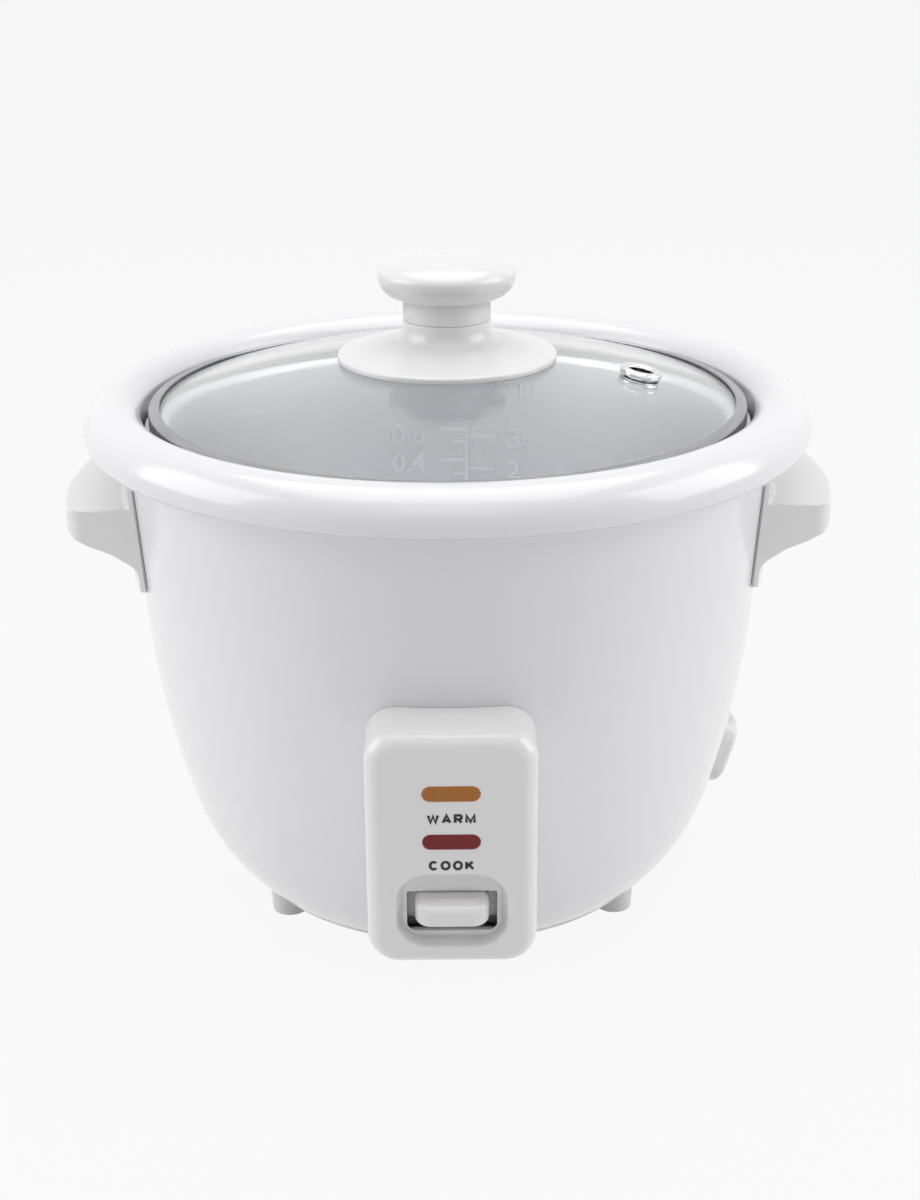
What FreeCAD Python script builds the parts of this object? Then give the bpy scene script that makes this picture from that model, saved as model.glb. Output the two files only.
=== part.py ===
import FreeCAD, Part
import math
import os

# A small drum rice cooker with a loose glass lid, a lift-out pot and a lever switch.
# Millimetres and degrees. +Z is up, the table is z = 0, the axis of the drum is the Z axis,
# and the switch box faces -Y.

# Clearances
rest_gap = 0.2          # under a piece that rests on another body
fit_gap = 0.15          # between fixed pieces with curved seats
slide_gap = 0.4         # beside a piece that moves past another
pin_gap = 0.05          # radial, round pins, screws and spigots

# Feet, bottom cover and outer shell
foot_height = 8.0
foot_r = 5.6
foot_flare = 0.5
foot_inset = 1.2
cover_t = 1.2
cover_inset = 1.0
vent_slot_count = 12
vent_slot_width = 4.0
sheet_t = 0.8
shell_height = 143.0    # underside of the floor to the underside of the top flange
wall_top_r = 98.9
wall_lean = 3.9
belly_height = 89.5
belly_lean = 16.7
heel_height = 27.4
heel_lean = 47.6
floor_lip = 22.0        # width of the shell's floor ring
flange_corner = 2.0

# Rolled top rim
rim_t = 1.2
rim_reach = 10.9         # beyond the top of the wall
rim_roll = 8.8           # outer edge to the crest
rim_rise = 12.0
rim_fall = 7.7           # crest to the mouth
rim_mouth_drop = 5.0
rim_skirt = 14.0
rim_overhang = 0.6

# Inner pot
pot_t = 1.2
pot_rise = 2.3          # pot flange above the shell's flange
pot_depth = 87.5
pot_lip = 6.9            # width of the pot's flange
pot_taper = 1.5
pot_corner = 18.0
pot_lip_corner = 2.0
pot_rim_play = 0.8

# Glass lid, knob and steam vent
glass_t = 3.5
glass_inset = 2.3        # inside the edge of the pot's flange
dome_rise = 15.0
band_t = 0.7
band_lip = 2.6
knob_seat_r = 33.3
knob_seat_edge = 1.7
knob_seat_rise = 3.5
knob_neck_r = 13.3
knob_neck_height = 10.2  # glass apex to the seam under the grip
knob_stem = 6.8
knob_cap_r = 20.8
knob_cap_low = 6.6
knob_cap_high = 6.3
knob_cap_edge = 2.8      # width of the cap's rounded edge
knob_washer_r = 12.0
knob_washer_t = 1.5
knob_screw_r = 2.0
knob_screw_bite = 10.0
vent_inset = 31.7        # inside the edge of the glass
vent_azimuth = -7.9
vent_hole_r = 3.75
vent_tube_t = 0.85
vent_flange_r = 6.5
vent_flange_t = 2.2
vent_foot_t = 0.8

# Side handles
handle_drop = 17.5       # shell flange top to the handle's top face
handle_reach = 19.6      # beyond the wall at the top face
handle_half = 32.0
handle_tip = 5.7
handle_web = 14.0
handle_plate_t = 2.2
handle_plate_low = 26.2
handle_plate_high = 12.0
handle_corner = 5.0
handle_screw_y = 16.0
handle_screw_drop = 6.0

# Small screws
screw_r = 1.5
screw_head_r = 3.0
screw_head_t = 1.8
screw_bite = 6.0

# Switch box on the front
box_half = 23.4
box_low = 28.0
box_height = 71.5
box_reach = 14.5         # beyond the top of the wall
box_face_lean = 1.9
box_corner = 9.0
box_edge = 4.5
box_wall = 2.2
boss_r = 2.6
boss_upper_x = 16.0
boss_upper_drop = 7.5
boss_lower_x = 18.8
boss_lower_drop = 37.5
warm_lamp_drop = 17.3
cook_lamp_drop = 32.0
lamp_width = 16.2
lamp_height = 5.0
lamp_proud = 0.3
lamp_lip = 1.5
bulb_r = 2.7
bulb_length = 13.0
holder_t = 2.4
holder_half = 14.0
recess_half = 15.75
recess_low = 5.6         # above the bottom of the box
recess_height = 23.5
recess_corner = 9.5
recess_depth = 6.4
recess_draft = 2.4
recess_wall = 2.0
window_half = 12.5
window_low = 9.0         # above the bottom of the box
window_height = 12.4

# Switch lever and its frame
lever_swing = 4.4
pivot_inset = 40.9       # inside the top of the wall
pivot_r = 1.5
pivot_head = 0.8         # width of the pin's head round its shank
strip_t = 1.5
strip_half = 6.0
strip_above_pivot = 2.6
strip_end_half = 4.5
slot_room = 3.0          # beside the strip where it passes the wall
lever_ear_t = 1.2
lever_ear_r = 3.5
paddle_half = 10.25
paddle_thick = 5.8
paddle_reach = 6.0
paddle_slope = 2.3
paddle_root = 2.6
paddle_corner = 4.5
paddle_edge = 1.6
frame_t = 1.2
frame_gap = 0.4
frame_foot_length = 14.0
switch_length = 20.0
switch_width = 10.0
switch_height = 16.0
plunger_arm = 20.0       # pivot to plunger
plunger_r = 1.5
plunger_show = 2.5
switch_hole_spacing = 10.0
tab_width = 4.0
tab_t = 0.8
tab_length = 5.0

# Heating plate, sensor and magnet
post_r = 4.5
plate_t = 9.0
plate_margin = 1.7
spigot_r = 2.0
spigot_length = 4.0
element_ring_r = 46.0
element_r = 3.3
element_gap_angle = 60.0
element_leg = 12.0
element_pin_r = 1.2
element_pin = 8.0
cap_r = 18.0
cap_t = 1.2
cap_height = 13.0
sensor_travel = 1.0
ferrite_r = 13.0
ferrite_t = 6.0
magnet_r = 9.5
magnet_t = 6.0
magnet_seat_r = 13.0
magnet_seat_t = 1.2
rod_r = 2.5
collar_r = 5.0
collar_t = 2.0
fork_room = 0.75
sleeve_t = 1.0
sleeve_flange_r = 29.0
sleeve_flange_t = 1.5
sleeve_floor_t = 1.5
spring_wire_r = 0.5
spring_turns = 5

# Thermostat, fuse and power inlet
warmer_r = 7.0
warmer_height = 9.0
warmer_azimuth = 150.0
fuse_r = 2.0
fuse_length = 12.0
fuse_azimuth = 30.0
clip_t = 1.2
clip_width = 8.0
inlet_azimuth = 10.0     # on the right, below the handle and a little behind its middle
inlet_height = 30.0      # above the shell's floor
inlet_half = 16.0
inlet_tall = 12.0
inlet_out = 7.0
inlet_corner = 8.0
inlet_neck_in = 16.0
socket_half = 12.0
socket_tall = 7.5
socket_floor = 2.0
prong_r = 2.0
prong_spacing = 15.0
prong_tail = 5.0
earth_rise = 1.0         # earth pin above the line of the two others
lead_r = 1.1

V = FreeCAD.Vector
ORIGIN = V(0, 0, 0)
AXIS_X = V(1, 0, 0)
AXIS_Y = V(0, 1, 0)
UP = V(0, 0, 1)


# Levels and radii that follow from the sizes above
floor_z = foot_height + cover_t
floor_top = floor_z + sheet_t
flange_z = floor_z + shell_height
shell_top = flange_z + sheet_t
lean_top = math.radians(wall_lean)
lean_mid = math.radians(belly_lean)
lean_low = math.radians(heel_lean)
belly_z = floor_z + belly_height
heel_z = floor_z + heel_height
belly_r = (belly_height - heel_height) / (math.sin(lean_mid) - math.sin(lean_top))
heel_r = heel_height / (math.sin(lean_low) - math.sin(lean_mid))
belly_start_r = wall_top_r - (flange_z - belly_z) * math.tan(lean_top)
belly_centre = (belly_start_r - belly_r * math.cos(lean_top), belly_z + belly_r * math.sin(lean_top))
heel_start_r = belly_centre[0] + belly_r * math.cos(lean_mid)
heel_centre = (heel_start_r - heel_r * math.cos(lean_mid), heel_z + heel_r * math.sin(lean_mid))
floor_r = heel_centre[0] + heel_r * math.cos(lean_low)
foot_circle_r = floor_r - foot_inset - foot_r
foot_azimuths = {"front_right": -30.0, "rear": 90.0, "front_left": 210.0}

rim_edge_r = wall_top_r + rim_reach
rim_crest_r = rim_edge_r - rim_roll
rim_mouth_r = rim_crest_r - rim_fall

pot_top = shell_top + pot_rise
pot_base = pot_top - pot_depth
pot_flange_r = rim_mouth_r - pot_rim_play
pot_wall_r = pot_flange_r - pot_lip
pot_base_r = pot_wall_r - pot_taper

glass_r = pot_flange_r - glass_inset
vent_place_r = glass_r - vent_inset
band_base = pot_top + rest_gap
dome_r = (glass_r ** 2 + dome_rise ** 2) / (2 * dome_rise)
dome_centre_z = band_base + band_t + fit_gap - math.sqrt((dome_r - glass_t) ** 2 - glass_r ** 2)
apex_z = dome_centre_z + dome_r
seam_z = apex_z + knob_neck_height

box_top = box_low + box_height
box_face_y = -(wall_top_r + box_reach)
face_slope = math.tan(math.radians(box_face_lean))
recess_back_y = box_face_y + recess_depth
window_z = box_low + window_low
window_top = window_z + window_height

plate_top = pot_base - rest_gap
plate_base = plate_top - plate_t
plate_r = foot_circle_r + post_r + plate_margin
swing = math.radians(lever_swing)
pivot_y = pivot_inset - wall_top_r
lever_rise = -pivot_y * swing
cap_top = plate_top
ferrite_base = cap_top - cap_t - ferrite_t
magnet_top = ferrite_base - lever_rise - sensor_travel - rest_gap
magnet_base = magnet_top - magnet_t
magnet_seat_z = magnet_base - magnet_seat_t
sleeve_floor = magnet_seat_z - rest_gap
sleeve_inner_r = cap_r + slide_gap
paddle_top = window_top - slide_gap
strip_mid = paddle_top - paddle_root - strip_t / 2
strip_root_arm = pivot_y - recess_back_y
pivot_z = strip_mid - strip_root_arm * math.tan(swing) - strip_above_pivot
tip_z = pivot_z + strip_above_pivot + pivot_y * math.tan(swing)


def flat(point):
    return V(point[0], 0, point[1])


def section(start, *moves):
    """Face in the XZ plane: a pair ends a straight run, two pairs are an arc's middle and end."""
    edges = []
    here = flat(start)
    for move in moves:
        if isinstance(move[0], tuple):
            there = flat(move[1])
            edges.append(Part.Arc(here, flat(move[0]), there).toShape())
        else:
            there = flat(move)
            edges.append(Part.LineSegment(here, there).toShape())
        here = there
    if here.distanceToPoint(flat(start)) > 1e-6:
        edges.append(Part.LineSegment(here, flat(start)).toShape())
    return Part.Face(Part.Wire(edges))


def spin(start, *moves):
    """Solid of revolution about Z from a section given as (radius, height) points."""
    return section(start, *moves).revolve(ORIGIN, UP, 360)


def on_circle(centre, radius, angle):
    return (centre[0] + radius * math.cos(angle), centre[1] + radius * math.sin(angle))


def arc(centre, radius, first, last):
    """Middle and end of an arc, as section() takes them. Angles are in radians."""
    return (on_circle(centre, radius, (first + last) / 2), on_circle(centre, radius, last))


def polar(radius, azimuth, z):
    turn = math.radians(azimuth)
    return V(radius * math.cos(turn), radius * math.sin(turn), z)


def block(x0, x1, y0, y1, z0, z1):
    return Part.makeBox(x1 - x0, y1 - y0, z1 - z0, V(x0, y0, z0))


def screw(seat, direction, length):
    """Pan-head screw. The head lies behind the seat, and the shank runs along direction."""
    head = Part.makeCylinder(screw_head_r, screw_head_t, seat, direction * -1)
    shank = Part.makeCylinder(screw_r, length, seat, direction)
    return head.fuse(shank).removeSplitter()


def screw_hole(seat, direction, length):
    return Part.makeCylinder(screw_r + pin_gap, length, seat, direction)


def panel(y, half, low, high, corner):
    """Rounded rectangle in the plane at y, as a wire of four sides and four corners."""
    left, right = -half, half
    k = corner * (1 - math.sqrt(0.5))
    corners = [
        ((right - corner, low), (right - k, low + k), (right, low + corner)),
        ((right, high - corner), (right - k, high - k), (right - corner, high)),
        ((left + corner, high), (left + k, high - k), (left, high - corner)),
        ((left, low + corner), (left + k, low + k), (left + corner, low)),
    ]
    edges = []
    for n, (a, b, c) in enumerate(corners):
        a, b, c = (V(p[0], y, p[1]) for p in (a, b, c))
        following = corners[(n + 1) % 4][0]
        edges.append(Part.Arc(a, b, c).toShape())
        edges.append(Part.LineSegment(c, V(following[0], y, following[1])).toShape())
    return Part.Wire(edges)


def prism(y0, y1, half, low, high, corner):
    return Part.Face(panel(y0, half, low, high, corner)).extrude(V(0, y1 - y0, 0))


def turned(shape, point, axis, angle):
    copy = shape.copy()
    copy.rotate(point, axis, angle)
    return copy


# Outer shell

def wall_r(z, inset=0.0):
    """Radius of the shell's wall at a height, set in by a distance along its normal."""
    if z >= belly_z:
        return wall_top_r - (flange_z - z) * math.tan(lean_top) - inset / math.cos(lean_top)
    if z >= heel_z:
        return belly_centre[0] + math.sqrt((belly_r - inset) ** 2 - (z - belly_centre[1]) ** 2)
    return heel_centre[0] + math.sqrt((heel_r - inset) ** 2 - (z - heel_centre[1]) ** 2)


def wall_moves(inset, low_z):
    """The wall from its straight part down to a height, as moves of a section."""
    belly = belly_r - inset
    heel = heel_r - inset
    low = math.asin((heel_centre[1] - low_z) / heel)
    return [
        on_circle(belly_centre, belly, -lean_top),
        arc(belly_centre, belly, -lean_top, -lean_mid),
        arc(heel_centre, heel, -lean_mid, -low),
    ]


def wall_blank(outset):
    """The filled drum, grown by a gap, for cutting what seats on its outside."""
    moves = wall_moves(-outset, floor_z)
    return spin((0, flange_z), (wall_r(flange_z, -outset), flange_z), *moves, (0, floor_z))


def outer_shell():
    bend = flange_z - flange_corner
    bend_centre = (wall_r(bend) + flange_corner, bend)
    down = wall_moves(0, floor_z)
    up = wall_moves(sheet_t, floor_top)
    low_in = up[2][1]
    inner_bend = flange_corner + sheet_t
    shell = spin(
        (rim_edge_r - rim_overhang, shell_top),
        (rim_edge_r - rim_overhang, flange_z),
        (bend_centre[0], flange_z),
        arc(bend_centre, flange_corner, math.pi / 2, math.pi),
        *down,
        (floor_r - floor_lip, floor_z),
        (floor_r - floor_lip, floor_top),
        low_in,
        (up[2][0], up[1][1]),
        (up[1][0], up[0]),
        (wall_r(bend, sheet_t), bend),
        (on_circle(bend_centre, inner_bend, math.pi * 0.75), (bend_centre[0], shell_top)),
    )
    slot_half = strip_half + slot_room
    lever_slot = block(-slot_half, slot_half, -wall_top_r, pivot_y, window_z, window_top)
    lead_hole = Part.makeCylinder(2 * lead_r, wall_top_r, lamp_lead_hole(), AXIS_Y * -1)
    cuts = [lever_slot, lead_hole, inlet_place(inlet_neck(fit_gap))]
    cuts += [screw_hole(seat, way, screw_bite) for seat, way in foot_screw_seats()]
    cuts += [screw_hole(seat, way, screw_bite) for seat, way in handle_screw_seats()]
    cuts += [screw_hole(seat, way, screw_bite) for seat, way in box_screw_seats()]
    cuts += [screw_hole(seat, way, screw_bite) for seat, way in frame_screw_seats()]
    return shell.cut(cuts)


def lamp_lead_hole():
    return V(0, 0, (box_top - cook_lamp_drop + window_top) / 2 + boss_r)


def top_rim():
    out_r = ((rim_edge_r - rim_crest_r) ** 2 + rim_rise ** 2) / (2 * rim_rise)
    in_run = rim_crest_r - rim_mouth_r
    in_r = (in_run ** 2 + rim_mouth_drop ** 2) / (2 * rim_mouth_drop)
    crest_z = shell_top + rim_rise
    out_centre = (rim_crest_r, crest_z - out_r)
    in_centre = (rim_crest_r, crest_z - in_r)
    edge = math.asin((shell_top - out_centre[1]) / out_r)
    edge_in = math.asin((shell_top - out_centre[1]) / (out_r - rim_t))
    mouth = math.pi - math.acos(in_run / in_r)
    mouth_in = math.pi - math.acos((in_run - rim_t) / (in_r - rim_t))
    top = math.pi / 2
    skirt_z = crest_z - rim_mouth_drop - rim_skirt
    return spin(
        on_circle(out_centre, out_r - rim_t, edge_in),
        on_circle(out_centre, out_r, edge),
        arc(out_centre, out_r, edge, top),
        arc(in_centre, in_r, top, mouth),
        (rim_mouth_r, skirt_z),
        (rim_mouth_r + rim_t, skirt_z),
        on_circle(in_centre, in_r - rim_t, mouth_in),
        arc(in_centre, in_r - rim_t, mouth_in, top),
        arc(out_centre, out_r - rim_t, top, edge_in),
    )


# Bottom cover, feet and stand-off posts

def foot_screw_seats():
    """Where each foot's screw head bears, inside the foot, and the way the screw runs."""
    return [(polar(foot_circle_r, a, foot_height / 2), UP) for a in foot_azimuths.values()]


def bottom_cover():
    cover = Part.makeCylinder(floor_r - cover_inset, cover_t, V(0, 0, foot_height))
    inner = floor_r - floor_lip - vent_slot_width
    slot_in = inner / 2
    slots = []
    for n in range(vent_slot_count):
        slot = block(slot_in, inner, -vent_slot_width / 2, vent_slot_width / 2, 0, floor_top)
        for end in (slot_in, inner):
            slot = slot.fuse(Part.makeCylinder(vent_slot_width / 2, floor_top, V(end, 0, 0)))
        slots.append(turned(slot, ORIGIN, UP, 360 * n / vent_slot_count))
    holes = [screw_hole(seat, way, foot_height) for seat, way in foot_screw_seats()]
    return cover.cut(slots + holes)


def foot(azimuth):
    body = spin((0, 0), (foot_r, 0), (foot_r + foot_flare, foot_height), (0, foot_height))
    well = Part.makeCylinder(screw_head_r + fit_gap, foot_height / 2)
    hole = Part.makeCylinder(screw_r + pin_gap, foot_height)
    body = body.cut([well, hole])
    body.translate(polar(foot_circle_r, azimuth, 0))
    return body


def foot_screws():
    length = foot_height / 2 + cover_t + sheet_t + screw_bite
    return [screw(seat, way, length) for seat, way in foot_screw_seats()]


def heater_posts():
    posts = []
    for azimuth in foot_azimuths.values():
        base = polar(foot_circle_r, azimuth, floor_top)
        post = Part.makeCylinder(post_r, plate_base - floor_top, base)
        spigot = Part.makeCylinder(spigot_r, spigot_length, polar(foot_circle_r, azimuth, plate_base))
        thread = screw_hole(base, UP, screw_bite + pin_gap)
        posts.append(post.fuse(spigot).cut(thread))
    return posts


# Inner pot

def inner_pot():
    base_corner = (pot_base_r - pot_corner, pot_base + pot_corner)
    lip_z = pot_top - pot_t - pot_lip_corner
    lip_corner = (pot_wall_r + pot_lip_corner, lip_z)
    edge = pot_flange_r - pot_t / 2
    quarter = math.pi / 2
    return spin(
        (0, pot_base),
        (base_corner[0], pot_base),
        arc(base_corner, pot_corner, -quarter, 0),
        (pot_wall_r, lip_z),
        arc(lip_corner, pot_lip_corner, math.pi, quarter),
        (edge, pot_top - pot_t),
        ((pot_flange_r, pot_top - pot_t / 2), (edge, pot_top)),
        (lip_corner[0], pot_top),
        arc(lip_corner, pot_lip_corner + pot_t, quarter, math.pi),
        (pot_base_r - pot_t, base_corner[1]),
        arc(base_corner, pot_corner - pot_t, 0, -quarter),
        (0, pot_base + pot_t),
    )


# Glass lid

def dome_z(r, depth=0.0):
    """Height of the lid's dome at a radius, depth below its outer face along the normal."""
    return dome_centre_z + math.sqrt((dome_r - depth) ** 2 - r ** 2)


def dome_arc(first, last, depth):
    middle = (first + last) / 2
    return ((middle, dome_z(middle, depth)), (last, dome_z(last, depth)))


def vent_frame(shape):
    """Sets a piece made about Z, with z = 0 on the glass, square on the dome at the vent."""
    tilt = math.degrees(math.asin(vent_place_r / dome_r))
    shape = turned(shape, ORIGIN, AXIS_Y, tilt)
    shape.translate(V(vent_place_r, 0, dome_z(vent_place_r)))
    return turned(shape, ORIGIN, UP, vent_azimuth)


def lid_glass():
    glass = spin(
        (0, dome_z(0, glass_t)),
        dome_arc(0, glass_r, glass_t),
        (glass_r, dome_z(glass_r)),
        dome_arc(glass_r, 0, 0),
    )
    knob_hole = Part.makeCylinder(2 * knob_screw_r, apex_z)
    hole_r = vent_hole_r + vent_tube_t + fit_gap
    vent_hole = Part.makeCylinder(hole_r, 4 * glass_t, V(0, 0, -2 * glass_t))
    return glass.cut([knob_hole, vent_frame(vent_hole)])


def lid_rim_band():
    inner = glass_r + fit_gap
    outer = inner + band_t
    lip = glass_r - band_lip
    over = dome_z(glass_r) + fit_gap
    lip_over = dome_z(lip) + fit_gap
    return spin(
        (lip, band_base),
        (outer, band_base),
        (outer, over + band_t),
        (lip, lip_over + band_t),
        (lip, lip_over),
        (inner, over),
        (inner, band_base + band_t),
        (lip, band_base + band_t),
    )


def knob_seat():
    bore = knob_screw_r + pin_gap
    edge_z = dome_z(knob_seat_r, -fit_gap) + knob_seat_edge
    flare_r = knob_neck_r + 0.18 * (knob_seat_r - knob_neck_r)
    flare_z = edge_z + knob_seat_rise
    neck_z = flare_z + (seam_z - flare_z) / 2
    bulge = ((knob_seat_r + flare_r) / 2, edge_z + 0.65 * knob_seat_rise)
    hollow = (knob_neck_r + 0.25 * (flare_r - knob_neck_r), flare_z + 0.3 * (neck_z - flare_z))
    return spin(
        (bore, dome_z(bore, -fit_gap)),
        dome_arc(bore, knob_seat_r, -fit_gap),
        (knob_seat_r, edge_z),
        (bulge, (flare_r, flare_z)),
        (hollow, (knob_neck_r, neck_z)),
        (knob_neck_r, seam_z),
        (bore, seam_z),
    )


def knob_grip():
    base = seam_z + fit_gap
    stem_top = base + knob_stem
    wide_z = stem_top + knob_cap_low
    crown = wide_z + knob_cap_high
    under = (knob_neck_r + 0.72 * (knob_cap_r - knob_neck_r), stem_top + 0.4 * knob_cap_low)
    crown_r = knob_cap_r - knob_cap_edge
    shoulder = wide_z + 0.58 * knob_cap_high
    edge = (knob_cap_r - 0.25 * knob_cap_edge, wide_z + 0.35 * knob_cap_high)
    rise = crown - shoulder
    ball_r = (crown_r ** 2 + rise ** 2) / (2 * rise)
    half_turn = math.pi / 2
    first = math.acos(crown_r / ball_r)
    grip = spin(
        (0, base),
        (knob_neck_r, base),
        (knob_neck_r, stem_top),
        (under, (knob_cap_r, wide_z)),
        (edge, (crown_r, shoulder)),
        arc((0, crown - ball_r), ball_r, first, half_turn),
    )
    return grip.cut(Part.makeCylinder(knob_screw_r + pin_gap, knob_screw_bite, V(0, 0, base)))


def washer_top():
    return dome_z(knob_washer_r, glass_t) - fit_gap


def knob_washer():
    washer = Part.makeCylinder(knob_washer_r, knob_washer_t, V(0, 0, washer_top() - knob_washer_t))
    return washer.cut(Part.makeCylinder(knob_screw_r + pin_gap, apex_z))


def knob_screw():
    seat = washer_top() - knob_washer_t
    head = Part.makeCylinder(2 * knob_screw_r, knob_screw_r, V(0, 0, seat - knob_screw_r))
    shank = Part.makeCylinder(knob_screw_r, seam_z + knob_screw_bite - seat, V(0, 0, seat))
    return head.fuse(shank).removeSplitter()


def steam_vent_eyelet():
    tube = vent_hole_r + vent_tube_t
    under = -glass_t - fit_gap
    round_r = vent_flange_t / 2
    eyelet = spin(
        (vent_hole_r, under - vent_foot_t),
        (vent_flange_r, under - vent_foot_t),
        (vent_flange_r, under),
        (tube, under),
        (tube, fit_gap),
        (vent_flange_r - round_r, fit_gap),
        ((vent_flange_r, fit_gap + round_r), (vent_flange_r - round_r, fit_gap + vent_flange_t)),
        (vent_hole_r + round_r, fit_gap + vent_flange_t),
        ((vent_hole_r + 0.3 * round_r, fit_gap + 0.85 * vent_flange_t), (vent_hole_r, fit_gap + round_r)),
    )
    return vent_frame(eyelet)


# Side handles

handle_z = shell_top - handle_drop


def handle_screw_seats():
    """Seats inside the wall for both handles: left is -X."""
    seats = []
    z = handle_z - handle_screw_drop
    for side in (1, -1):
        for y in (handle_screw_y, -handle_screw_y):
            reach = wall_r(z - screw_head_r, sheet_t) - fit_gap
            x = math.sqrt(reach ** 2 - (abs(y) + screw_head_r) ** 2)
            seats.append((V(side * x, y, z), AXIS_X * side))
    return seats


def handle(side):
    inner = wall_r(handle_z - handle_plate_low) - handle_plate_t
    outer = wall_r(handle_z) + handle_reach
    low = handle_z - handle_plate_low
    plate = wall_r(low) + handle_plate_t
    web_z = handle_z - handle_web
    tip_low = handle_z - handle_tip
    web_r = plate + 0.4 * (outer - plate)
    web_mid = (plate + 0.13 * (outer - plate), web_z - 0.37 * (web_z - low))
    nose = (outer - 0.25 * handle_tip, tip_low - 0.62 * handle_tip)
    nose_in = (outer - 0.9 * handle_tip, tip_low - handle_tip)
    upper = handle_z + handle_plate_high
    profile = section(
        (inner, low),
        (plate, low),
        (web_mid, (web_r, web_z)),
        nose_in,
        (nose, (outer, tip_low)),
        (outer, handle_z),
        (wall_r(handle_z) + handle_plate_t, handle_z),
        (wall_r(upper) + handle_plate_t, upper),
        (inner, upper),
    )
    spread = 90.0
    grip = turned(profile, ORIGIN, UP, -spread / 2).revolve(ORIGIN, UP, spread)
    grip = grip.common(handle_plan(outer, low, upper))
    grip = grip.cut(wall_blank(fit_gap))
    if side < 0:
        grip = turned(grip, ORIGIN, UP, 180)
    holes = [screw_hole(seat, way, screw_bite + sheet_t) for seat, way in handle_screw_seats()]
    return grip.cut(holes)


def handle_plan(outer, low, upper):
    """Upright block with the handle's plan: straight ends, a round front and rounded corners."""
    end = handle_half - handle_corner
    x = math.sqrt((outer - handle_corner) ** 2 - end ** 2)
    turn = math.atan2(end, x)
    tip = on_circle((0, 0), outer, turn)
    bend = on_circle((x, end), handle_corner, (turn + math.pi / 2) / 2)
    plan = section(
        (0, -handle_half),
        (x, -handle_half),
        ((bend[0], -bend[1]), (tip[0], -tip[1])),
        ((outer, 0), tip),
        (bend, (x, handle_half)),
        (0, handle_half),
    )
    plan.rotate(ORIGIN, AXIS_X, 90)
    plan.translate(UP * low)
    return plan.extrude(UP * (upper - low))


def handle_screws():
    return [screw(seat, way, screw_bite) for seat, way in handle_screw_seats()]


# Switch box with lamps

def face_y(z):
    """Front face of the box, which leans back towards its foot."""
    return box_face_y + (box_top - z) * face_slope


def face_cut(inset):
    """All that lies in front of the box's face, or behind that face by an inset."""
    deep = box_height
    front = block(-deep, deep, -2 * deep, 0, -2 * deep, deep)
    front.rotate(ORIGIN, AXIS_X, box_face_lean)
    front.translate(V(0, box_face_y + inset, box_top))
    return front


def recess_loft(grow):
    """The scooped recess. It narrows from the face to its back wall."""
    low = box_low + recess_low
    high = low + recess_height
    front_y = box_face_y - 1.0
    back_y = recess_back_y + grow
    mouth = panel(front_y, recess_half + grow, low - grow, high + grow, recess_corner + grow)
    back_corner = recess_corner / 2 + grow
    back = panel(
        back_y,
        recess_half - recess_draft + grow,
        low + recess_draft - grow,
        high - recess_draft + grow,
        back_corner,
    )
    return Part.makeLoft([mouth, back], True, True)


def box_screw_points():
    upper = box_top - boss_upper_drop
    lower = box_top - boss_lower_drop
    return [
        (boss_upper_x, upper),
        (-boss_upper_x, upper),
        (boss_lower_x, lower),
        (-boss_lower_x, lower),
    ]


def box_screw_seats():
    seats = []
    for x, z in box_screw_points():
        reach = wall_r(z - screw_head_r, sheet_t) - fit_gap
        y = -math.sqrt(reach ** 2 - (abs(x) + screw_head_r) ** 2)
        seats.append((V(x, y, z), AXIS_Y * -1))
    return seats


def holder_screw_points():
    z = box_top - (warm_lamp_drop + cook_lamp_drop) / 2
    x = holder_half - boss_r - fit_gap
    return [(x, z), (-x, z)]


def bulb_y(z):
    return face_y(z) + box_wall + lamp_lip + fit_gap + bulb_r + slide_gap


def holder_front():
    return bulb_y(box_top - cook_lamp_drop) + 0.7 * bulb_r


def switch_box():
    back = -wall_r(box_low) / 2
    outer = prism(box_face_y - box_edge, back, box_half, box_low, box_top, box_corner)
    outer = outer.cut(face_cut(0))
    front = min(outer.Faces, key=lambda face: face.CenterOfMass.y)
    outer = outer.makeFillet(box_edge, front.Edges)
    hollow = prism(
        box_face_y - box_edge,
        back,
        box_half - box_wall,
        box_low + box_wall,
        box_top - box_wall,
        box_corner - box_wall,
    )
    hollow = hollow.cut(face_cut(box_wall))
    shell = outer.cut(hollow)
    scoop_wall = recess_loft(recess_wall).common(outer)
    bosses = [box_boss(x, z, box_height) for x, z in box_screw_points()]
    pillars = [box_boss(x, z, holder_front() - boss_root(z)) for x, z in holder_screw_points()]
    box = shell.fuse([scoop_wall] + bosses + pillars)
    through = (recess_back_y - recess_wall, recess_back_y + 2 * recess_wall)
    window = block(-window_half, window_half, *through, window_z, window_top)
    cuts = [recess_loft(0), window, wall_blank(fit_gap)]
    cuts += [lamp_prism(drop, fit_gap, 0, 2 * box_wall) for drop in (warm_lamp_drop, cook_lamp_drop)]
    cuts += [screw_hole(seat, way, box_screw_length()) for seat, way in box_screw_seats()]
    cuts += [screw_hole(seat, way, screw_bite + pin_gap) for seat, way in holder_screw_seats(0)]
    return box.cut(cuts).removeSplitter()


def boss_root(z):
    return face_y(z) + box_wall / 2


def box_boss(x, z, length):
    """A round boss that stands on the inside of the box's front wall."""
    return Part.makeCylinder(boss_r, length, V(x, boss_root(z), z), AXIS_Y)


def box_screw_length():
    return sheet_t + screw_bite + screw_head_r


def lamp_prism(drop, grow, ahead, deep):
    """A stadium block along Y at a lamp, from ahead of the face to a depth behind it."""
    z = box_top - drop
    half = lamp_width / 2 + grow
    tall = lamp_height / 2 + grow
    start = face_y(z) - lamp_height * face_slope - ahead
    return prism(start, face_y(z) + deep, half, z - tall, z + tall, tall - 1e-3)


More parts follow.
